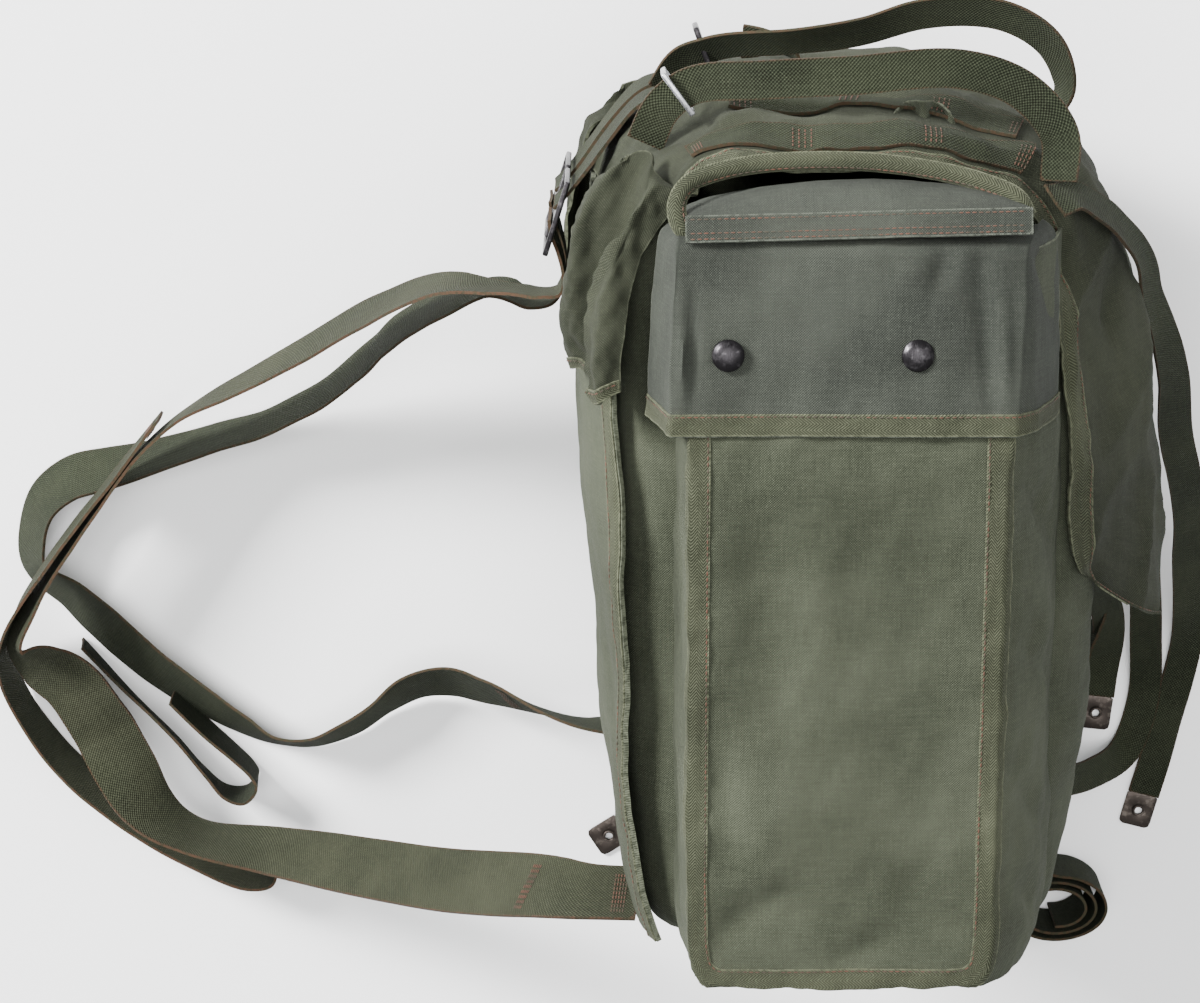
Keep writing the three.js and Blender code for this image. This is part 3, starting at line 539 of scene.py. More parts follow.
def band(name, place, path, left, right, material, lift=0.9, rows_of_stitches=(), step=3.0,
         heart=HEART, pucker=0.0, wall=0.9, depth=level):
    path = resampled(path, step)
    offsets = np.linspace(left, right, max(int(abs(right - left) / 1.6), 3) + 1)
    strips, normals = zip(*[lifted(place, path, o, lift, heart, depth) for o in offsets])
    surface, out = np.stack(strips, axis=1), np.stack(normals, axis=1)
    if pucker:
        ripple = pucker * uneven(surface, 11, len(name))
        surface = surface + out * ripple[..., None]
    piece = sheet(name, surface, material, wall=wall, normals=out, offset=-1.0)
    for offset in rows_of_stitches:
        sew(*lifted(place, path, offset, lift + 0.1, heart, depth))
    return piece


# %% Stitches
def sew(points, normals):
    """Remembers a row of stitches along points."""
    run = run_along(points)
    marks = np.arange(STITCH_GAP_MM / 2, run[-1] - STITCH_GAP_MM / 2, STITCH_GAP_MM)
    if len(marks):
        at, way, up = (at_marks(marks, run, v) for v in (points, np.gradient(points, run, axis=0), normals))
        SEAMS.append((at, unit(way), unit(up)))


def make_stitches(name):
    """All remembered stitches as one piece: copies of one short spindle."""
    piece = start(
        bpy.ops.mesh.primitive_uv_sphere_add, name, segments=5, ring_count=4, radius=STITCH_MM / 2000)
    edit_all()
    thin = THREAD_MM / (STITCH_MM / 2)
    bpy.ops.transform.resize(value=(thin, thin * 0.8, 1))
    leave_edit()
    spindle = np.array([v.co for v in piece.data.vertices]) * 1000
    faces = [list(p.vertices) for p in piece.data.polygons]
    at, way, up = (np.concatenate([seam[k] for seam in SEAMS]) for k in range(3))
    across = unit(np.cross(up, way))
    up = np.cross(way, across)
    points = (at[:, None] + across[:, None] * spindle[None, :, :1]
              + up[:, None] * spindle[None, :, 1:2] + way[:, None] * spindle[None, :, 2:])
    copies = [[len(spindle) * k + i for i in face] for k in range(len(at)) for face in faces]
    piece.data.clear_geometry()
    piece.data.from_pydata(world(points.reshape(-1, 3)).tolist(), [], copies)
    bpy.ops.object.shade_smooth_by_angle(angle=SMOOTH_ANGLE)
    print(name, len(at), "stitches")
    return settle(piece, thread, ())


# %% [markdown]
# Body
#
# The bag itself is a tall box with soft corners, full enough to swell at the front. It is made
# as a loft: rings of a rounded rectangle, from the middle of the base out to its edge and then
# up the walls to the open mouth under the lid.

# %% The body's shell
BODY = table("up back front half", [
    [0.00, 0.80, 0.86, 0.95], [0.025, 0.84, 0.92, 0.99], [0.10, 0.88, 0.96, 1.00],
    [0.25, 0.92, 1.01, 1.00], [0.42, 0.96, 1.04, 1.00], [0.60, 0.98, 1.03, 1.00],
    [0.75, 0.98, 0.98, 1.00], [0.88, 0.96, 0.88, 0.98], [0.965, 0.90, 0.76, 0.93],
])
FRONT_SWELL, BACK_SWELL = 10.6, 6.2
BODY_COLUMNS = 240


def body_ring(t):
    up, back, front, half = (float(read(BODY[name], np.array(t))) for name in ("up", "back", "front", "half"))
    half *= BAG_WIDTH / 2
    back, front = FRONT_SHIFT - back * BAG_DEPTH / 2, FRONT_SHIFT + front * BAG_DEPTH / 2
    outline = []
    for k, (x, z, radius) in enumerate((
            (front - FRONT_CORNER, half - FRONT_CORNER, FRONT_CORNER),
            (front - FRONT_CORNER, FRONT_CORNER - half, FRONT_CORNER),
            (back + BACK_CORNER, BACK_CORNER - half, BACK_CORNER),
            (back + BACK_CORNER, half - BACK_CORNER, BACK_CORNER))):
        angle = np.pi / 2 * (1 - k - np.linspace(0, 1, 10))
        outline += list(zip(x + radius * np.cos(angle), z + radius * np.sin(angle)))
    outline = np.array(outline + outline[:1])
    run = run_along(outline)
    x, z = at_marks(np.linspace(0, run[-1], BODY_COLUMNS + 1), run, outline).T
    share = np.maximum(1 - (z / half) ** 2, 0) * np.sin(np.pi * up)
    x = x + np.where(x > FRONT_SHIFT, FRONT_SWELL, -BACK_SWELL) * share
    return np.stack([x, np.full_like(x, up * BAG_HEIGHT), MIDDLE + z], axis=1)


base = body_ring(0)
base_middle = np.array((FRONT_SHIFT, 0, MIDDLE))
base_rings = [base_middle + share * (base - base_middle) for share in np.linspace(0, 0.96, 14)]
walls = np.stack([body_ring(t) for t in np.linspace(0, 1, 110)])
walls = rumpled(walls, rumple(11, wide=2.0, fine=0.7, folds=[
    ((128, 150, 300), (95, 60, 345), 9, 3.5), ((120, 255, 330), (132, 180, 300), 8, -3.5),
    ((95, 240, 352), (125, 200, 320), 7, 2.6), ((130, 90, 250), (100, 40, 330), 9, -3.0),
    ((132, 215, 230), (112, 205, 345), 6, -3.0), ((136, 120, 240), (112, 128, 345), 7, -3.0)]))
walls[..., 1] = np.maximum(walls[..., 1], 0.2)
walls[:, -1] = walls[:, 0]
body = sheet(
    "bag_body", np.concatenate([np.stack(base_rings), walls]), canvas, ["body"], closed=True)
print("body triangles", sum(len(p.vertices) - 2 for p in body.data.polygons))

# %% [markdown]
# Side pockets
#
# Each pocket is a box of canvas with one flat face. Its edges are where the panels meet, so
# the face ends in a sharp line, and at the front a wide gusset slopes back to the bag.
# Distances here are measured along the cloth, because tapes and seams are laid out on it.

# %% Pockets and flaps as folded trays
POCKET_ACROSS = table("share rise", [
    [0, -0.06], [0.008, 0.35], [0.016, 0.7], [0.03, 1], [0.15, 1], [0.32, 1], [0.5, 1], [0.68, 1],
    [0.82, 1], [0.86, 0.86], [0.92, 0.6], [0.965, 0.3], [1, -0.20]])
POCKET_UP = table("share rise draw", [
    [0.000, -0.14, 0.12], [0.000, 0.35, 0.10], [0.002, 0.7, 0.09], [0.006, 1.0, 0.08],
    [0.030, 1.0, 0.035], [0.07, 1.0, 0.008], [0.16, 1.0, 0.0], [0.34, 1.0, 0.0], [0.52, 1.0, 0.0],
    [0.685, 1.0, 0.0], [0.762, 0.945, 0.0], [0.90, 0.855, 0.0], [0.985, 0.82, 0.0]])
FLAP_ACROSS = table("share rise", [
    [0, 0.22], [0.03, 0.62], [0.058, 1.08], [0.066, 1.11], [0.2, 1.1], [0.4, 1.1], [0.6, 1.1],
    [0.79, 1.1], [0.826, 1.12], [0.86, 1.02], [0.92, 0.80], [0.965, 0.50], [1, 0.15]])
FLAP_UP = table("share rise draw", [
    [0.0, 0.992, 0.0], [0.28, 0.946, 0.008], [0.56, 0.90, 0.02], [0.89, 0.868, 0.04],
    [0.925, 0.850, 0.047], [0.955, 0.79, 0.06], [0.98, 0.64, 0.085], [1.0, 0.35, 0.11]])
FLAP_FRONT, FLAP_ROOT = POCKET_FRONT - 4, FLAP_TOP - 7


class Tray:
    """A folded box of cloth; place(a, b) is the point a mm across and b mm up the cloth."""

    def __init__(self, across, up, back, front, bottom, top, side):
        self.across, self.up, self.side = across, up, side
        self.back, self.front, self.bottom, self.top = back, front, bottom, top
        self.middle = (back + front) / 2
        rise = np.minimum(across["rise"], 1.0) * POCKET_DEPTH
        self.a_run = run_along(np.stack([across["share"] * (front - back), rise], axis=1))
        self.b_run = run_along(np.stack([up["share"] * (top - bottom), up["rise"] * POCKET_DEPTH], axis=1))
        self.width, self.height = self.a_run[-1], self.b_run[-1]

    def place(self, a, b):
        column = {k: np.interp(a, self.a_run, v) for k, v in self.across.items()}
        row = {k: np.interp(b, self.b_run, v) for k, v in self.up.items()}
        x = self.back + column["share"] * (self.front - self.back)
        x = self.middle + (x - self.middle) * (1 - row["draw"])
        rise = np.minimum(column["rise"], row["rise"])
        z = BAG_WIDTH / 2 + GAP + rise * POCKET_DEPTH
        h = self.bottom + row["share"] * (self.top - self.bottom)
        return np.stack([x, h, MIDDLE + self.side * z], axis=-1)

    def surface(self, step):
        columns, rows = int(self.width / step) + 1, int(self.height / step) + 1
        return self.place(*grid(0, self.width, self.height, columns, rows))

    def heart(self):
        return np.array((self.middle, (self.bottom + self.top) / 2, MIDDLE + self.side * BAG_WIDTH * 0.45))


def pocket_folds(side):
    """Shallow hollows in the face, the bulge of the gusset and drag lines at the corners."""
    z = MIDDLE + side * 210
    return [
        ((-48, 270, z), (-38, 130, z), 15, -3.2), ((-20, 262, z), (-8, 150, z), 13, 1.8),
        ((-66, 150, z), (-60, 50, z), 8, -2.2), ((-52, 120, z), (-40, 45, z), 12, 1.6),
        ((30, 250, z), (44, 40, z), 26, -1.6), ((-70, 22, z), (-20, 60, z), 9, -2.2),
        ((66, 22, z), (20, 62, z), 10, -2.4), ((72, 60, z), (60, 110, z), 9, -1.8),
        ((-10, 8, z), (30, 30, z), 9, -1.8),
        ((98, 210, z - side * 30), (104, 130, z - side * 40), 10, 3.0),
        ((92, 110, z - side * 14), (106, 70, z - side * 50), 9, -4.0),
        ((92, 180, z - side * 14), (108, 150, z - side * 55), 8, -3.6),
        ((92, 262, z - side * 14), (108, 225, z - side * 55), 8, -3.6),
        ((92, 50, z - side * 14), (104, 24, z - side * 50), 8, -3.0)]


def pressed(depth):
    """The same unevenness, pressed flat and inwards where the flap covers the pocket."""
    def pressed_depth(points):
        under = np.clip((points[..., 1] - FLAP_HEM + 8) / 16, 0, 1)
        return depth(points) * (1 - under) - 3.0 * under
    return pressed_depth


# %% The pockets and the tape round their faces
SIDES = ((1, "near"), (-1, "far"))
EDGE_BACK, EDGE_FRONT, EDGE_BOTTOM = 3, 8, 3
POCKET_TAPE, POCKET_TAPE_BACK, TAPE_CORNER = 10, -5, 16
TAPE_LIFT, TAPE_SEAM = 0.9, 1.2


def tape_path(left, right, low, high):
    """Down one edge of the face, round its two lower corners and up the other edge."""
    turn = np.linspace(0, np.pi / 2, 10)
    cos, sin = TAPE_CORNER * (1 - np.cos(turn)), TAPE_CORNER * (1 - np.sin(turn))
    return [(left, high), *zip(left + cos, low + sin),
            *zip(right - sin, low + cos), (right, high)]


for side, side_name in SIDES:
    pocket = Tray(POCKET_ACROSS, POCKET_UP, POCKET_BACK, POCKET_FRONT, -POCKET_DROP, POCKET_HEIGHT, side)
    heart = pocket.heart()
    depth = pressed(
        rumple(21, wide=1.1, fine=0.6, folds=pocket_folds(side)) if side > 0 else rumple(31, 0.3, 0.1))
    surface = rumpled(pocket.surface(2.4), depth, heart)
    sheet(f"{side_name}_pocket_cloth", surface, canvas, [f"{side_name}_pocket"], heart=heart)
    left, right = pocket.a_run[EDGE_BACK], pocket.a_run[EDGE_FRONT]
    path = tape_path(left, right, pocket.b_run[EDGE_BOTTOM], pocket.height - 3)
    band(f"{side_name}_pocket_tape", pocket.place, path, POCKET_TAPE_BACK, POCKET_TAPE, tape_cloth,
         lift=TAPE_LIFT, rows_of_stitches=(POCKET_TAPE - TAPE_SEAM,), heart=heart,
         pucker=0.45 if side > 0 else 0.1, depth=depth)
print("pocket cloth", round(pocket.width), "by", round(pocket.height), "mm")

# %% [markdown]
# Pocket flaps
#
# A flap is a shallow box lid: its hem is bound with tape, its sides turn down over the
# pocket and its top runs back to the bag. The cloth is creased where it has been pinched by the
# pocket's corners for years, so these creases are drawn one by one.

# %% The flap's measures
HEM_TAPE, HEM_DROP, HEM_SEAM = 11, 4, 1.4
THROAT_RISE = np.array([0, 9.0, 13.0, 11.0, 2, -9])
THROAT_WIDE, THROAT_LONG, THROAT_DEPTH = 195, 72, 66
BAND_BACK, BAND_LONG, BAND_WIDE, BAND_WALL = -85, 171, 14, 2.4
BAND_SEAMS = (1.6, 4.6, 11.8)


def flap_band_place(side):
    """A stiff band that is sewn across the flap's top and leans back a little."""
    def place(a, b):
        up = b / BAND_WIDE
        h = 389 + 12.5 * up + 4.5 * a / BAND_LONG
        z = BAG_WIDTH / 2 + (0.872 - 0.09 * up) * POCKET_DEPTH + 1.6
        return np.stack([BAND_BACK + a, h, MIDDLE + side * z + 0 * a], axis=-1)
    return place


def throat_place(side):
    """The gusset that closes a flap's top: domed in the middle and tucked in behind."""
    def place(a, b):
        across, back = a / THROAT_WIDE, np.clip(b / THROAT_LONG, 0, 1)
        x = BAND_BACK + across * BAND_LONG
        rise = read(THROAT_RISE, back) * np.sin(np.pi * np.clip(across, 0, 1)) ** 0.6 - 5 * back**2
        z = MIDDLE + side * (BAG_WIDTH / 2 + 48 - THROAT_DEPTH * back)
        return np.stack([x, 400 + 4 * across + rise, z + 0 * x], axis=-1)
    return place


def flap_folds(side):
    """Creases along the edges, a pinch in front at the top, and dents round the caps."""
    z = MIDDLE + side * 206
    return [
        ((60, 390, z), (68, 296, z), 4.5, -2.6), ((70, 392, z), (76, 296, z), 3.5, 2.2),
        ((46, 394, z), (38, 362, z), 5, -3.4), ((55, 394, z), (50, 366, z), 3.5, 3.0),
        ((64, 394, z), (62, 372, z), 3.5, -2.4), ((30, 393, z), (12, 372, z), 8, -1.6),
        ((-87, 388, z), (-86, 300, z), 2.6, 2.4), ((-81, 388, z), (-80, 304, z), 3.0, -1.8),
        ((-60, 318, z), (0, 306, z), 14, -1.8), ((10, 345, z), (56, 326, z), 12, 1.4),
        ((-75, 384, z), (-30, 372, z), 12, -1.4), ((-64, 334, z), (-63, 332, z), 13, -1.8),
        ((30, 334, z), (31, 332, z), 13, -1.8), ((96, 380, z - 30), (92, 310, z - 34), 7, -3.0),
        ((84, 384, z - 12), (104, 340, z - 46), 6, -3.2)]


# %% Each flap: its cloth and hem, then the band and the throat of its top
def flap_top(side, side_name, heart):
    place, depth = flap_band_place(side), rumple(47, 0.5, 0.3)
    a, b = grid(0, BAND_LONG, BAND_WIDE, 72, 9)
    sheet(f"{side_name}_flap_top_band", rumpled(place(a, b), depth, heart), flap_canvas,
          wall=BAND_WALL, heart=heart)
    for row in BAND_SEAMS:
        sew(*lifted(place, resampled([(2, row), (BAND_LONG - 2, row)], 3), 0, 0.2, heart, depth))
    throat = throat_place(side)(*grid(0, THROAT_WIDE, THROAT_LONG, 90, 34))
    cloth = sheet(f"{side_name}_flap_throat", rumpled(throat, rumple(45, 0.7, 0.4), heart), flap_canvas,
                  heart=heart)


for side, side_name in SIDES:
    flap = Tray(FLAP_ACROSS, FLAP_UP, POCKET_BACK - 15, FLAP_FRONT, FLAP_HEM - HEM_DROP, FLAP_ROOT, side)
    heart = flap.heart()
    depth = rumple(41, 0.7, 0.4, flap_folds(side)) if side > 0 else rumple(43, 0.2, 0.15)
    cloth = sheet(f"{side_name}_flap_cloth", rumpled(flap.surface(2.2), depth, heart), flap_canvas,
                  [f"{side_name}_flap"], heart=heart)
    hem = [(a, 0.6) for a in np.linspace(1, flap.width - 1, 80)]
    band(f"{side_name}_flap_hem", flap.place, hem, 0, HEM_TAPE, tape_cloth, lift=TAPE_LIFT,
         rows_of_stitches=(HEM_TAPE - HEM_SEAM,), heart=heart, pucker=0.4 if side > 0 else 0.1, depth=depth)
    flap_top(side, side_name, heart)
print("flap cloth", round(flap.width), "by", round(flap.height), "mm")

# %% [markdown]
# Back panel
#
# At the wearer's back a double layer of canvas wraps the bag. Its side edges stand proud of the
# body, with a dark groove in front of them, which is one of the strongest lines in the picture.

# %% The back panel
PANEL = table("up middle edge half", [
    [-0.005, 0.87, 0.76, 1.00], [0.06, 0.92, 0.82, 1.03], [0.20, 0.975, 0.885, 1.04],
    [0.42, 1.03, 0.91, 1.04], [0.60, 1.09, 0.91, 1.02], [0.76, 1.10, 0.95, 0.94],
    [0.9575, 1.045, 0.955, 0.80]])
PANEL_STAND_OFF, PANEL_HALF, PANEL_TALL = 4.5, 154, 390


def panel_at(a, b):
    """a across the panel in mm from its middle, b up it in mm."""
    t, u = b / PANEL_TALL, np.clip(a / PANEL_HALF, -1, 1)
    row = {k: read(v, t) for k, v in PANEL.items()}
    reach = row["edge"] + (row["middle"] - row["edge"]) * (1 - np.abs(u) ** 5)
    x = FRONT_SHIFT - reach * BAG_DEPTH / 2 - PANEL_STAND_OFF
    return np.stack([x, row["up"] * BAG_HEIGHT, MIDDLE + u * row["half"] * BAG_WIDTH / 2], axis=-1)


a, b = grid(-PANEL_HALF, PANEL_HALF, PANEL_TALL, 120, 130)
panel_depth = rumple(51, wide=1.5, fine=0.5, folds=[
    ((-118, 300, 350), (-112, 120, 362), 6, 1.6), ((-120, 200, 320), (-112, 60, 350), 10, -2.6)])
panel = sheet(
    "back_panel_cloth", rumpled(panel_at(a, b), panel_depth), canvas, ["back_panel"], wall=2.6)
for side, side_name in SIDES:
    edge = [(side * (PANEL_HALF - 1.5), b) for b in np.linspace(2, PANEL_TALL - 2, 90)]
    left, right = (-1, 9) if side > 0 else (-9, 1)
    band(f"{side_name}_panel_tape", panel_at, edge, left, right, tape_cloth, lift=1.0,
         rows_of_stitches=(side * 7,), pucker=0.2, depth=panel_depth)

# %% [markdown]
# Lid
#
# The lid is one large flap. It starts at the back's top edge, crosses the mouth with a crown
# that sags between its supports, and falls down the front as a skirt with rounded corners.
# The skirt is stiff where it is bound, and folds run from its corners towards the crown.

# %% The lid
LID = table("middleX middleUp edgeX edgeUp half", [
    [-1.03, -0.40, -0.62, -0.06, 0.98], [-0.86, 0.52, -0.60, 0.16, 1.06],
    [-0.48, 0.92, -0.46, 0.36, 1.09], [0.02, 1.00, 0.00, 0.40, 1.09],
    [0.48, 0.98, 0.42, 0.20, 1.06], [0.86, 0.66, 0.68, -0.03, 1.00],
    [1.14, -0.35, 0.85, -0.90, 0.975], [1.34, -2.2, 0.915, -2.6, 0.965],
    [1.44, -4.1, 0.92, -3.9, 0.95], [1.46, -5.5, 0.955, -4.55, 0.93],
    [1.46, -6.05, 1.02, -4.95, 0.86]])
LID_LONG, LID_HALF = 620, 160


def lid_at(a, b):
    """a across the lid in mm from its middle, b along it in mm from its back edge."""
    u, t = a / LID_HALF, b / LID_LONG
    row = {k: read(v, t) for k, v in LID.items()}
    share = 1 - np.minimum(np.abs(u), 1.02) ** 3
    x = (row["edgeX"] + (row["middleX"] - row["edgeX"]) * share) * BAG_DEPTH / 2
    up = row["edgeUp"] + (row["middleUp"] - row["edgeUp"]) * share
    return np.stack([x, BAG_HEIGHT + up * LID_RISE, MIDDLE + u * row["half"] * BAG_WIDTH / 2], axis=-1)


a, b = grid(-LID_HALF, LID_HALF, LID_LONG, 130, 220)
lid_depth = rumple(61, wide=2.8, fine=1.1, folds=[
    ((88, 428, 330), (150, 318, 352), 7, 5.0), ((66, 432, 335), (132, 340, 350), 6, -5.0),
    ((112, 400, 340), (152, 280, 352), 6, -4.5), ((52, 440, 300), (140, 372, 330), 8, 4.0),
    ((90, 430, 260), (162, 300, 330), 9, -5.0), ((104, 430, 230), (168, 260, 300), 9, 4.0),
    ((-60, 440, 300), (20, 446, 330), 8, -3.5), ((-20, 445, 250), (60, 445, 300), 9, 4.0),
    ((20, 447, 210), (80, 436, 260), 8, -4.0), ((-80, 436, 330), (-30, 440, 318), 7, 3.0),
    ((120, 310, 348), (168, 250, 330), 7, 3.6), ((146, 262, 348), (178, 190, 310), 8, -3.6),
    ((125, 240, 350), (160, 180, 335), 8, 3.0), ((160, 210, 330), (176, 150, 300), 9, -3.0)])
lid_depth = crumpled(lid_depth, 67, 80, 2.8, (0.8, 0.8, 1.3))
# The lid's darker canvas is painted shade
lid = sheet("lid_cloth", rumpled(lid_at(a, b), lid_depth), lid_canvas_painted_shade, ["lid"])
LID_CORNER, RIM_INSET = 10, 0.5
half_rim = [(LID_HALF - RIM_INSET, b) for b in np.linspace(20, LID_LONG - LID_CORNER - 1, 150)]
half_rim += [(LID_HALF - RIM_INSET - LID_CORNER * (1 - math.cos(t)),
              LID_LONG - RIM_INSET - LID_CORNER * (1 - math.sin(t))) for t in np.linspace(0, np.pi / 2, 8)]
rim = half_rim + [(-a, b) for a, b in reversed(half_rim)]
band("lid_rim_tape", lid_at, rim, -1, 10, tape_cloth, lift=1.0, rows_of_stitches=(8.6,),
     pucker=0.4, depth=lid_depth)

# %% [markdown]
# Ears
#
# Between the back panel and each pocket flap a small canvas ear is tucked in, crumpled into deep
# upright folds with a sewn hem. One and a half waves across the sheet make the folds.

# %% The crumpled ears
EAR = table("up backX backZ frontX frontZ fold", [
    [0.745, 1.104, 0.66, 0.93, 1.125, 0.6], [0.80, 1.13, 0.70, 0.93, 1.12, 0.9],
    [0.86, 1.13, 0.72, 0.90, 1.09, 1.0], [0.93, 1.10, 0.74, 0.83, 1.05, 1.0],
    [1.00, 1.03, 0.76, 0.72, 1.00, 0.8], [1.045, 0.94, 0.80, 0.68, 0.93, 0.4]])
EAR_FOLD = 11
EAR_WIDE, EAR_TALL = 75, 122


def ear_place(side):
    def place(a, b):
        u, t = a / EAR_WIDE, b / EAR_TALL
        row = {k: read(v, t) for k, v in EAR.items()}
        swell = 0.05 * np.sin(np.pi * u)
        wave = math.sqrt(0.5) * EAR_FOLD * row["fold"] * np.sin(3 * np.pi * u) * (1 - 0.3 * u)
        x = (row["backX"] + (row["frontX"] - row["backX"]) * u + swell) * BAG_DEPTH / 2
        z = (row["backZ"] + (row["frontZ"] - row["backZ"]) * np.sin(u * np.pi / 2)) * BAG_WIDTH / 2
        rounded = 26 * (2 * u - 1) ** 2 * np.clip(t, 0, 1) ** 4
        h = row["up"] * BAG_HEIGHT - rounded + 5 * np.sin(7 * u) * (1 - t) ** 2
        return np.stack([-x - wave, h, MIDDLE + side * (z + wave)], axis=-1)
    return place


for side, side_name in ((1, "near"), (-1, "far")):
    place = ear_place(side)
    a, b = grid(0, EAR_WIDE, EAR_TALL, 60, 70)
    depth = rumple(71 + side, wide=1.5, fine=2.6, grain=(1.2, 0.32, 1.2), folds=[
        ((-118, 408, MIDDLE + side * 150), (-112, 345, MIDDLE + side * 160), 4, -3.5),
        ((-128, 395, MIDDLE + side * 140), (-124, 320, MIDDLE + side * 150), 4, 3.0)])
    depth = crumpled(depth, 77 + side, 42, 4.2, (1.1, 0.28, 1.1))
    # The ear takes the lid's darker canvas as painted shade for its deep folds
    ear = sheet(f"{side_name}_ear_cloth", rumpled(place(a, b), depth), lid_canvas_painted_shade,
                [f"{side_name}_ear"])
    hem = [(a, 1) for a in np.linspace(1, EAR_WIDE - 1, 50)]
    band(f"{side_name}_ear_hem", place, hem, 0, 9, tape_cloth, lift=1.1,
         rows_of_stitches=(7,), step=2, depth=depth)

# %% [markdown]
# Webbing
#
# The straps are flat woven bands that lie where they fell. Each follows a route of a few bends
# and turns about it: roll 0 lies flat and roll 90 stands on its edge. The height in a route is
# that of the webbing's lower edge, so a strap on the floor has a height just above nothing.

# %% How webbing follows a route
def route(kind, rows):
    """Routes behind the back, ahead of the front or over the lid, in shares of the bag's sizes."""
    out, up, lift, roll = (np.array(column, float) for column in zip(*rows))
    if kind == "behind":
        x, h = BACK - out * STRAP_REACH, up * BAG_HEIGHT
    elif kind == "ahead":
        x, h = FRONT + out * FRONT_REACH, up * BAG_HEIGHT
    else:
        x, h = out * BAG_DEPTH / 2, BAG_HEIGHT + up * LID_RISE
    return np.stack([x, h, lift * SPAN], axis=1), roll


def smooth_line(points, steps):
    """A centripetal curve through the points, with that many steps between each two."""
    points = np.vstack([2 * points[0] - points[1], points, 2 * points[-1] - points[-2]])
    made = []
    s = (np.arange(steps) / steps)[:, None]
    for k in range(1, len(points) - 2):
        p0, p1, p2, p3 = points[k - 1 : k + 3]
        d0, d1, d2 = (max(np.linalg.norm(q - p), 1e-4) ** 0.5 for p, q in ((p0, p1), (p1, p2), (p2, p3)))
        t1 = ((p1 - p0) / d0 - (p2 - p0) / (d0 + d1) + (p2 - p1) / d1) * d1
        t2 = ((p2 - p1) / d1 - (p3 - p1) / (d1 + d2) + (p3 - p2) / d2) * d1
        c2, c3 = -3 * p1 + 3 * p2 - 2 * t1 - t2, 2 * p1 - 2 * p2 + t1 + t2
        made.append(p1 + t1 * s + c2 * s**2 + c3 * s**3)
    return np.vstack([*made, points[-2][None]])


# %% Webbing along its route, and stitches across it
BAND_STEP = 2.4
RUNS = {}


def strap(name, way, width, nodes, seed, material=webbing_cloth, ripple=0.35, steps=9, bend=0.4):
    """Webbing that waves a little at its edges and is bent slightly hollow."""
    points, roll = way
    line = smooth_line(points, steps)
    turn = np.radians(read(roll, np.linspace(0, 1, len(line))))[:, None]
    tangent = unit(np.gradient(line, axis=0))
    across = unit(np.cross((0, 0, 1), tangent))
    normal = np.cross(tangent, across)
    side = across * np.cos(turn) + normal * np.sin(turn)
    face = unit(np.cross(tangent, side))
    line[:, 2] += np.abs(side[:, 2]) * width / 2 + np.abs(face[:, 2]) * WEBBING / 2
    shares = np.linspace(-1, 1, max(int(width / BAND_STEP), 6) + 1)
    surface = line[:, None] + side[:, None] * (shares * width / 2)[None, :, None]
    wave = ripple * uneven(surface, 34, seed) * np.abs(shares) + bend * (shares**2 - 0.5)
    surface = surface + face[:, None] * wave[..., None]
    surface[..., 2] = np.maximum(surface[..., 2], WEBBING / 2 + 0.1)
    RUNS[name] = {"line": line, "side": side, "face": face, "run": run_along(line), "width": width}
    normals = np.repeat(face[:, None], len(shares), axis=1)
    sheet(name, surface, material, nodes, wall=WEBBING, offset=0.0, normals=normals)
    print(name, round(RUNS[name]["run"][-1]), "mm long")


def on_strap(name, at, across):
    """Points at mm along a strap and across mm from its middle, and the way it faces there."""
    line, side, face = (at_marks(at, RUNS[name]["run"], RUNS[name][k]) for k in ("line", "side", "face"))
    return line + side * across[:, None], face


def bartack(name, at):
    """A close block of stitches across a strap, on both faces."""
    half = RUNS[name]["width"] * 0.4
    across = np.linspace(-half, half, 12)
    for k in range(5):
        middle, face = on_strap(name, np.full_like(across, at + 1.6 * k), across)
        for way in (1, -1):
            sew(middle + way * face * (WEBBING / 2 + 0.25), way * face)


# %% [markdown]
# Shoulder straps
#
# The two carrying straps leave the sliders at the top of the back, sweep out over the floor and
# come back to its lower corners. Each is one length of 40 mm webbing here, with a folded loose
# end beside it. Most of it stands on its edge, so the picture shows a thin line that
# opens to a wide face at the bends.

# %% The shoulder straps and their loose ends
NEAR_SHOULDER = [
    [0.087, 0.918, 0.519, 90], [0.084, 0.898, 0.519, 90], [0.075, 0.874, 0.519, 90],
    [0.067, 0.845, 0.519, 90],
    [0.068, 0.822, 0.517, 92], [0.092, 0.81, 0.51, 96], [0.15, 0.806, 0.485, 96], [0.25, 0.795, 0.42, 90],
    [0.37, 0.73, 0.28, 84], [0.49, 0.65, 0.175, 82], [0.60, 0.585, 0.115, 86], [0.69, 0.535, 0.085, 92],
    [0.76, 0.48, 0.08, 92], [0.85, 0.375, 0.085, 88], [0.94, 0.26, 0.09, 80], [0.985, 0.17, 0.09, 66],
    [0.945, 0.135, 0.092, 26], [0.90, 0.10, 0.09, 12], [0.86, 0.04, 0.088, 4],
    [0.82, -0.03, 0.084, -14], [0.765, -0.10, 0.08, -56], [0.70, -0.135, 0.085, -76],
    [0.58, -0.145, 0.12, -68],
    [0.42, -0.12, 0.26, -62], [0.25, -0.065, 0.46, -60], [0.10, 0.0, 0.64, -62],
    [0.045, 0.012, 0.675, -64], [-0.045, 0.016, 0.69, -66]]
NEAR_TAIL = [
    [0.735, 0.5245, 0.075, 90], [0.80, 0.449, 0.078, 88], [0.90, 0.335, 0.10, 86], [0.988, 0.215, 0.09, 90],
    [1.015, 0.13, 0.04, 94], [0.995, 0.05, 0.006, 98], [0.95, -0.02, 0.002, 102], [0.88, -0.09, 0.002, 104],
    [0.79, -0.155, 0.002, 102], [0.70, -0.205, 0.002, 98], [0.62, -0.24, 0.002, 94],
    [0.578, -0.236, 0.002, 92],
    [0.565, -0.215, 0.002, 90]]
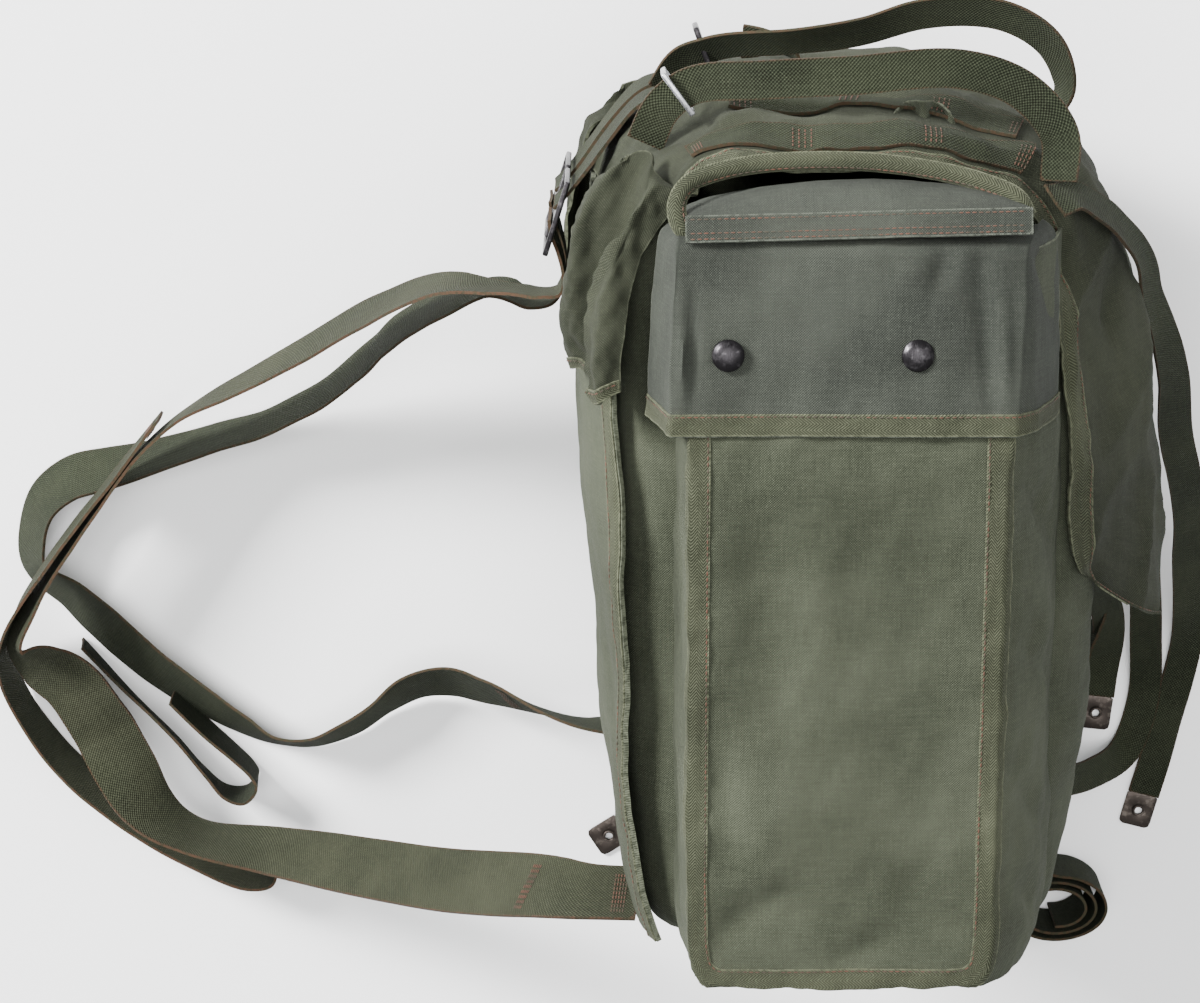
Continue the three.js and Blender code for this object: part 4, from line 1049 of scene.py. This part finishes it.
FAR_SHOULDER = [
    [0.087, 0.918, 0.386, 90], [0.084, 0.898, 0.386, 90], [0.075, 0.874, 0.386, 90],
    [0.067, 0.84, 0.386, 90],
    [0.068, 0.805, 0.386, 90], [0.081, 0.78, 0.386, 90], [0.11, 0.77, 0.38, 90], [0.17, 0.778, 0.355, 88],
    [0.25, 0.745, 0.30, 84], [0.34, 0.68, 0.20, 80], [0.39, 0.63, 0.145, 80], [0.47, 0.56, 0.075, 80],
    [0.57, 0.505, 0.03, 80], [0.66, 0.475, 0.010, 78], [0.76, 0.445, 0.003, 72], [0.84, 0.425, 0.002, 64],
    [0.90, 0.41, 0.002, 60], [0.945, 0.375, 0.002, 60], [0.965, 0.325, 0.002, 60], [0.963, 0.27, 0.002, 58],
    [0.90, 0.222, 0.002, 48], [0.855, 0.18, 0.002, 42], [0.78, 0.115, 0.002, 44], [0.70, 0.06, 0.002, 48],
    [0.63, 0.02, 0.002, 56], [0.57, -0.008, 0.002, 66], [0.50, -0.012, 0.003, 66], [0.44, 0.01, 0.004, 62],
    [0.385, 0.045, 0.006, 62], [0.33, 0.078, 0.012, 52], [0.27, 0.09, 0.025, 46], [0.20, 0.085, 0.055, 52],
    [0.12, 0.075, 0.10, 64], [0.05, 0.07, 0.14, 78], [-0.008, 0.068, 0.15, 86]]
FAR_TAIL = [
    [0.889, 0.148, 0.002, 80], [0.83, 0.085, 0.002, 78], [0.78, 0.035, 0.002, 76],
    [0.73, -0.015, 0.002, 76],
    [0.69, -0.062, 0.002, 78], [0.655, -0.095, 0.002, 84], [0.62, -0.10, 0.002, 92],
    [0.60, -0.078, 0.002, 94],
    [0.608, -0.06, 0.002, 94], [0.64, -0.030, 0.002, 92], [0.68, 0.004, 0.002, 90],
    [0.74, 0.062, 0.002, 90]]

TAIL = WIDE * 0.85
strap("near_shoulder_strap", route("behind", NEAR_SHOULDER), WIDE,
      ["near_shoulder_upper", "near_shoulder_lower"], 3, worn_webbing)
strap("near_strap_end", route("behind", NEAR_TAIL), TAIL, ["near_shoulder_tail"], 4, worn_webbing)
strap("far_shoulder_strap", route("behind", FAR_SHOULDER), WIDE,
      ["far_shoulder_upper", "far_shoulder_lower"], 5)
strap("far_strap_end", route("behind", FAR_TAIL), TAIL, ["far_shoulder_tail"], 6)
for name, from_end in (("near", 14), ("near", 78), ("far", 80)):
    bartack(f"{name}_shoulder_strap", RUNS[f"{name}_shoulder_strap"]["run"][-1] - from_end)
bartack("near_strap_end", 6)

# %% [markdown]
# Anchors and straps of the lid
#
# Two short anchors come over the lid's back edge and hold the sliders. On top of the lid, two
# 20 mm bands stand up in loops, and two flat bands are sewn along its near side.

# %% The anchors, the lid's loops and its sewn bands
SLIDER_LIFTS = (("near", 0.519), ("far", 0.386))
for name, lift in SLIDER_LIFTS:
    strap(f"{name}_anchor_webbing", route("behind", [
        [-0.103, 1.085, lift, 90], [-0.049, 1.073, lift, 90], [0.0, 1.025, lift, 90],
        [0.0473, 0.965, lift, 90], [0.0676, 0.943, lift, 90], [0.080, 0.9325, lift, 90]]),
        WIDE, [f"{name}_anchor"], 8)
NEAR_LID_STRAP = route("lid", [
    [-0.83, 0.40, 0.734, 0], [-0.76, 0.845, 0.740, 0], [-0.64, 1.13, 0.750, 0], [-0.36, 1.25, 0.783, 0],
    [0.0, 1.33, 0.802, 0],
    [0.44, 1.41, 0.802, 0], [0.70, 1.15, 0.797, 0], [0.855, 0.62, 0.80, 8], [0.853, 0.07, 0.809, 30]])
FAR_LID_STRAP = route("lid", [
    [-0.74, 0.75, 0.518, 20], [-0.66, 1.15, 0.526, 30], [-0.56, 1.30, 0.535, 40],
    [-0.46, 1.38, 0.545, 44], [-0.21, 1.45, 0.564, 44],
    [0.10, 1.58, 0.566, 38], [0.36, 1.80, 0.566, 34], [0.69, 1.79, 0.566, 36], [0.90, 1.42, 0.560, 44],
    [0.975, 0.88, 0.548, 64], [0.945, 0.50, 0.535, 80]])
strap("near_lid_loop", NEAR_LID_STRAP, NARROW, ["near_lid_strap"], 9)
strap("far_lid_loop", FAR_LID_STRAP, NARROW, ["far_lid_strap"], 10)
strap("far_lid_end", route("lid", [
    [-0.40, 1.36, 0.50, 20], [-0.30, 1.34, 0.50, 40], [-0.20, 1.22, 0.49, 70], [-0.14, 1.05, 0.485, 90]]),
    NARROW, ["far_lid_tail"], 11)


# %% Webbing sewn flat on the lid
BAND_LIFT, STITCH_LIFT, BLOCK_HALF = 2.6, 2.8, 8
BLOCKS = (0.03, 0.34, 0.66, 0.97)


def sewn_band(name, spots, node):
    """spots are (share of the lid's length, share of its half width)."""
    path = np.array([(u * LID_HALF, v * LID_LONG, 0) for v, u in spots], float)
    path = resampled(smooth_line(path, 8)[:, :2], 3)
    strips, normals = zip(*[
        lifted(lid_at, path, o, BAND_LIFT, HEART, lid_depth)
        for o in np.linspace(-NARROW / 2, NARROW / 2, 9)])
    sheet(name, np.stack(strips, axis=1), webbing_cloth, [node],
          wall=WEBBING, normals=np.stack(normals, axis=1))
    rows = np.stack([lifted(lid_at, path, o, STITCH_LIFT, HEART, lid_depth)[0]
                     for o in np.linspace(-BLOCK_HALF, BLOCK_HALF, 8)])
    for share in BLOCKS:
        for step in range(4):
            j = min(int(share * (len(path) - 1)) + step, len(path) - 1)
            sew(rows[:, j], np.stack([normals[4][j]] * 8))


sewn_band("near_lid_band", [(0.13, 0.84), (0.25, 0.85), (0.38, 0.86), (0.49, 0.86)], "lid_webbing")
sewn_band("lid_return_band", [(0.20, 0.56), (0.29, 0.58), (0.38, 0.64), (0.47, 0.70)], "lid_return")

# %% [markdown]
# Folded tab
#
# A small tongue of paler canvas is sewn in front of the near loop and has buckled into pleats.

# %% The pleated tab on the lid
TAB_WIDE, TAB_TALL, TAB_WALL = 42, 20, 1.4


def tab_place(a, b):
    """a across the tab in mm, b up it in mm."""
    pleat = 4.5 * np.sin(a * 0.33 + 0.06 * b)
    return np.stack([22 + a * 0.8, 426 + b - 0.02 * (a - 20) ** 2, 322 + pleat - 0.15 * b], axis=-1)


heart = np.array((40, 430, 200))
tab = tab_place(*grid(0, TAB_WIDE, TAB_TALL, 42, 16))
tab_cloth = sheet("lid_tab_cloth", rumpled(tab, rumple(81, 0.6, 0.6), heart), canvas,
                  wall=TAB_WALL, heart=heart)
print("tab cloth", [round(1000 * size) for size in flat_size(tab)], "mm")

# %% [markdown]
# The pocket's mouth
#
# Behind the flap's band the mouth of the pocket is bound with a rolled tape. It curls up from the
# band's end, arches over the dark gap under the lid and comes down again at the front.

# %% The rolled rim of each pocket's mouth
MOUTH_RIM = np.array([
    [-80, 389, 190], [-87, 395, 190], [-89, 405, 186], [-83, 414, 179], [-66, 419.5, 172], [-40, 423, 168],
    [0, 423.5, 167], [35, 420, 169], [62, 414.5, 174], [80, 407.5, 182], [85, 399, 186]], float)
RIM_WIDE, RIM_BEND, RIM_SEAM = 8.5, 2.6, -3.2
for side, side_name in SIDES:
    name = f"{side_name}_mouth_rim"
    points = MOUTH_RIM * (1, 1, side) + (0, 0, MIDDLE - WEBBING / 2)
    strap(name, (points, np.zeros(len(points))), RIM_WIDE, [], 20, tape_cloth,
          bend=-side * RIM_BEND, ripple=0.25)
    at = np.linspace(4, RUNS[name]["run"][-1] - 4, 110)
    away = np.tile((0.0, 0.0, side), (len(at), 1))
    sew(on_strap(name, at, np.full_like(at, RIM_SEAM))[0] + away, away)

# %% [markdown]
# Front and waist straps
#
# Four 20 mm straps fall from the lid's front towards the floor, and two of them end in metal tips.
# The waist strap is rolled up on its side beside the base, and a short strap with a tip comes out
# at the base's back.

# %% The front straps, the roll and the low strap
NEAR_FRONT = route("ahead", [
    [-0.20, 0.985, 0.822, -40], [-0.105, 0.9875, 0.800, -58], [0.02, 0.966, 0.762, -62],
    [0.16, 0.926, 0.708, -60],
    [0.28, 0.877, 0.657, -54], [0.351, 0.815, 0.607, -46], [0.45, 0.748, 0.552, -34],
    [0.533, 0.677, 0.495, -20],
    [0.617, 0.575, 0.393, -5], [0.733, 0.477, 0.298, 0], [0.817, 0.393, 0.214, 0], [0.867, 0.311, 0.135, 0],
    [0.92, 0.227, 0.068, 0], [0.95, 0.146, 0.018, 0], [0.92, 0.077, 0.003, 0], [0.865, 0.01, 0.003, 0],
    [0.817, -0.057, 0.002, 0], [0.767, -0.114, 0.002, 0]])
SECOND_FRONT = route("ahead", [
    [0.160, 0.37, 0.345, -10], [0.31, 0.31, 0.25, 0], [0.47, 0.227, 0.12, 0], [0.53, 0.148, 0.03, 0],
    [0.52, 0.09, 0.003, 0], [0.505, 0.049, 0.003, 0]])
FAR_FRONT = route("ahead", [
    [-0.085, 1.057, 0.333, 90], [0.155, 0.95, 0.333, 90], [0.315, 0.802, 0.325, 88],
    [0.43, 0.647, 0.30, 80],
    [0.56, 0.484, 0.235, 60], [0.64, 0.311, 0.135, 40], [0.72, 0.163, 0.035, 20], [0.74, 0.044, 0.003, 10],
    [0.65, -0.035, 0.012, 10], [0.433, -0.05, 0.083, 10], [0.183, -0.03, 0.17, 10],
    [-0.05, 0.006, 0.225, 0]])
LOW = route("behind", [
    [-0.19, -0.0045, 0.20, 90], [-0.189, -0.04, 0.196, 88], [-0.15, -0.085, 0.11, 60],
    [-0.10, -0.125, 0.03, 20],
    [-0.055, -0.152, 0.004, 0], [-0.028, -0.168, 0.004, 0]])

ROLL_TURNS, ROLL_CORE, ROLL_PITCH, ROLL_FLAT = 2.5, 11.5, 4.4, 1.5
ROLL_OUT, ROLL_UP = 0.275, -0.270
roll_rows = []
for k in range(int(ROLL_TURNS * 16) + 1):
    angle = math.pi / 2 - (ROLL_TURNS * 16 - k) * math.pi / 8
    radius = ROLL_CORE + ROLL_PITCH * k / 16
    roll_rows.append([ROLL_OUT + ROLL_FLAT * radius * math.cos(angle) / FRONT_REACH,
                      ROLL_UP + radius * math.sin(angle) / BAG_HEIGHT, 0.004, 90])
roll_rows += [[0.02, -0.19, 0.006, 90], [-0.22, -0.135, 0.05, 90], [-0.42, -0.085, 0.15, 88],
              [-0.55, -0.045, 0.198, 90], [-0.56, -0.0045, 0.20, 90]]

strap("near_front_webbing", NEAR_FRONT, NARROW, ["near_front_strap"], 12)
strap("second_front_webbing", SECOND_FRONT, NARROW, ["second_front_strap"], 13)
strap("far_front_webbing", FAR_FRONT, NARROW, ["far_front_strap"], 14)
THIN_FRONT = route("ahead", [
    [0.10, 0.42, 0.24, 66], [0.38, 0.34, 0.15, 76], [0.46, 0.226, 0.07, 84], [0.43, 0.147, 0.02, 88],
    [0.375, 0.084, 0.005, 90],
    [0.30, 0.04, 0.003, 90], [0.20, 0.012, 0.003, 90], [0.07, -0.005, 0.02, 90]])
strap("thin_front_webbing", THIN_FRONT, NARROW, [], 17)
strap("rolled_webbing", route("ahead", roll_rows), WIDE, ["rolled_strap"], 15, ripple=0.2, bend=0.1, steps=5)
strap("low_webbing", LOW, NARROW, ["low_strap"], 16)

# %% [markdown]
# Sliders
#
# A slider is a steel frame with a middle bar. It starts as two faces of a grid: both are inset
# one by one, the inner faces are deleted, and Solidify and Bevel turn the rest into rounded
# bars.

# %% The slider buckles
BAR = 3.0
METAL_ANGLE = math.radians(40)


def placed(piece, at, length, face):
    """Turns a flat piece so that its Y runs along length and its Z along face, and puts it there."""
    y = Vector(length).normalized()
    z = (Vector(face) - Vector(face).dot(y) * y).normalized()
    x = y.cross(z)
    turn = Matrix((x, y, z)).transposed().to_4x4()
    piece.data.transform(Matrix.Translation(Vector(world(at))) @ turn)
    piece.matrix_world = Matrix.Identity(4)


def make_slider(name, webbing_width, at, length, face, material, node):
    half_w, half_l = webbing_width / 2 + GAP + BAR, webbing_width * 0.45 + BAR
    piece = start(bpy.ops.mesh.primitive_grid_add, name, x_subdivisions=1, y_subdivisions=2, size=1)
    piece.data.transform(Matrix.Diagonal((2 * half_w / 1000, 2 * half_l / 1000, 1, 1)))
    edit_all()
    bpy.ops.mesh.inset(thickness=BAR * 0.8 / 1000, use_individual=True)
    bpy.ops.mesh.delete(type="FACE")
    leave_edit()
    apply_modifier(piece, "SOLIDIFY", thickness=BAR / 1000, offset=0)
    apply_modifier(piece, "BEVEL", width=0.0009, segments=3)
    placed(piece, at, length, face)
    bpy.ops.object.shade_smooth_by_angle(angle=METAL_ANGLE)
    settle(piece, material, [node])


# %% The two pairs of sliders
SLIDER_UP, SLIDER_OUT = (0.3, 0.954, 0), (-0.954, 0.3, 0)
for name, lift in SLIDER_LIFTS:
    middle = (BACK - 0.0768 * STRAP_REACH, 0.921 * BAG_HEIGHT, lift * SPAN + WIDE / 2)
    make_slider(f"{name}_strap_slider", WIDE, middle, SLIDER_UP, SLIDER_OUT, gunmetal,
                f"{name}_shoulder_slider")
# The near loop slider gets the metal whose near-white colour is a painted reflection of the lights
for name, (points, _), share, material in (
        ("near", NEAR_LID_STRAP, 0.20, nickel_painted_reflection), ("far", FAR_LID_STRAP, 0.19, gunmetal)):
    line = smooth_line(points, 40)
    k = int(share * (len(line) - 1))
    make_slider(f"{name}_loop_slider", NARROW, line[k] + (0, 0, 1.0 - NARROW * 0.2625), (0, 0, 1),
                unit(line[k + 1] - line[k - 1]), material, f"{name}_lid_slider")

# %% [markdown]
# Snap caps and strap tips
#
# A snap cap is a thin domed disc with a rolled rim, so a circle is extruded ring by ring along
# the cap's profile. A strap tip is a folded plate on the real strap, made here as one flat plate
# with an eyelet: a ring of points is extruded out from the hole to the plate's outline.

# %% The snap caps
CAP_RADIUS, CAP_RISE, CAP_UP = 8.1, 3.2, 37
CAP_PROFILE = (
    (0.93, 0.0), (1.0, 0.10), (0.985, 0.24), (0.90, 0.34), (0.84, 0.50), (0.66, 0.76), (0.42, 0.92),
    (0.18, 1.0))
CAP_MIDDLE, CAP_HALF_GAP = -16.6, 47


def make_cap(name, x, side):
    piece = start(bpy.ops.mesh.primitive_circle_add, name, vertices=48,
                  radius=CAP_PROFILE[0][0] * CAP_RADIUS / 1000, fill_type="NGON")
    edit_all()
    for (r0, h0), (r1, h1) in zip(CAP_PROFILE, CAP_PROFILE[1:]):
        rise = (0, 0, (h1 - h0) * CAP_RISE / 1000)
        bpy.ops.mesh.extrude_region_move(TRANSFORM_OT_translate={"value": rise})
        bpy.ops.transform.resize(value=(r1 / r0, r1 / r0, 1))
    bpy.ops.mesh.select_all(action="SELECT")
    bpy.ops.mesh.normals_make_consistent(inside=False)
    leave_edit()
    # The seat and the lean follow the solid flap's slope
    share = CAP_UP / (FLAP_TOP - FLAP_HEM)
    slope = (FLAP_UP["rise"][2] - FLAP_UP["rise"][1]) / (FLAP_UP["share"][2] - FLAP_UP["share"][1])
    rise = FLAP_UP["rise"][1] + slope * (share - FLAP_UP["share"][1])
    lean = math.atan(-slope * POCKET_DEPTH / (FLAP_TOP - FLAP_HEM))
    seat = BAG_WIDTH / 2 + 2 * GAP + rise * POCKET_DEPTH + (0.3 if side > 0 else 0)
    placed(piece, (x, FLAP_HEM + CAP_UP, MIDDLE + side * seat),
           (0, math.cos(lean), -side * math.sin(lean)), (0, math.sin(lean), side * math.cos(lean)))
    bpy.ops.object.shade_smooth_by_angle(angle=math.radians(50))
    settle(piece, gunmetal, [name.replace("snap", "cap")])


for side, side_name in SIDES:
    make_cap(f"{side_name}_snap_back", CAP_MIDDLE - CAP_HALF_GAP, side)
    make_cap(f"{side_name}_snap_front", CAP_MIDDLE + CAP_HALF_GAP, side)

# %% The strap tips
TIP_LENGTH, TIP_PLATE, TIP_CORNER, EYELET = 22, 1.2, 3, 2.6


def plate_edge(angle):
    """The plate's outline in that direction from the eyelet: square behind, rounded in front."""
    half_w, half_l = NARROW / 2, TIP_LENGTH / 2
    x, y = math.cos(angle), math.sin(angle)
    reach = min(half_w / max(abs(x), 1e-6), half_l / max(abs(y), 1e-6))
    x, y = x * reach, y * reach
    if abs(x) > half_w - TIP_CORNER and y > half_l - TIP_CORNER:
        centre = Vector((math.copysign(half_w - TIP_CORNER, x), half_l - TIP_CORNER))
        x, y = centre + (Vector((x, y)) - centre).normalized() * TIP_CORNER
    return x / 1000, y / 1000, 0


def make_tip(name, way, node):
    end, before = way[0][-1], way[0][-2]
    along = unit((end - before) * (1, 1, 0))
    piece = start(bpy.ops.mesh.primitive_circle_add, name, vertices=32, radius=EYELET / 1000)
    edit_all()
    bpy.ops.mesh.extrude_edges_move()
    leave_edit()
    for vertex in [v for v in piece.data.vertices if v.select]:
        vertex.co = plate_edge(math.atan2(vertex.co.y, vertex.co.x))
    piece.data.transform(Matrix.Translation((0, TIP_LENGTH / 2000, 0)))
    apply_modifier(piece, "SOLIDIFY", thickness=TIP_PLATE / 1000, offset=1)
    apply_modifier(piece, "BEVEL", width=0.0004, segments=2)
    bpy.ops.mesh.primitive_torus_add(
        major_radius=(EYELET + 0.5) / 1000, minor_radius=0.0008, major_segments=32, minor_segments=10,
        location=(0, TIP_LENGTH / 2000, TIP_PLATE / 1000))
    ring = bpy.context.object
    ring.data.transform(ring.matrix_world)
    ring.matrix_world = Matrix.Identity(4)
    piece.select_set(True)
    bpy.context.view_layer.objects.active = piece
    bpy.ops.object.join()
    edit_all()
    bpy.ops.mesh.normals_make_consistent(inside=False)
    leave_edit()
    placed(piece, end + along * GAP + (0, 0, 0.1), along, (0, 0, 1))
    bpy.ops.object.shade_smooth_by_angle(angle=METAL_ANGLE)
    settle(piece, nickel, [node])


make_tip("near_front_strap_tip", NEAR_FRONT, "near_front_tip")
make_tip("second_front_strap_tip", SECOND_FRONT, "second_front_tip")
make_tip("low_strap_tip", LOW, "low_tip")

# %% The stitches, all at once
make_stitches("seam_stitches")

# %% [markdown]
# Studio
#
# The bag lies on a plain pale floor under large soft lights, as it would on a photographer's
# table: a strong one from the upper left, a broad one above, a weak one on the right, and the pale
# surroundings as fill.

# %% Floor and light
bpy.ops.mesh.primitive_plane_add(size=12, location=(0, 0, -0.0006))
floor = bpy.context.object
floor.name = "floor"
# Matt and nearly white, so the olive stands clear and its shadow stays soft
floor_paint, floor_tree, floor_shader = new_material("matt white studio floor")
fill(floor_tree, floor_shader, {"Base Color": linear("#fafafa"), "Roughness": 0.9})
floor.data.materials.append(floor_paint)

BAG_MIDDLE = Vector((0, 0.07, 0.15))
for x, y, z, size, power in (
        (-3.3, 2.4, 2.4, 1.3, 820), (2.8, 1.2, 4.0, 2.6, 80), (-0.2, 0.9, 5.6, 3.4, 360)):
    aim = BAG_MIDDLE - Vector((x, y, z))
    bpy.ops.object.light_add(
        type="AREA", location=(x, y, z), rotation=aim.to_track_quat("-Z", "Y").to_euler())
    bpy.context.object.data.size = size
    bpy.context.object.data.energy = power

sky = bpy.data.worlds.new("pale studio")
sky.use_nodes = True
fill(sky.node_tree, sky.node_tree.nodes["Background"], {"Color": linear("#f4f6f8"), "Strength": 0.62})
bpy.context.scene.world = sky

# %% The number of triangles in the dressed pieces, and the end
print("triangles", sum(sum(len(p.vertices) - 2 for p in piece.data.polygons) for piece in MADE))
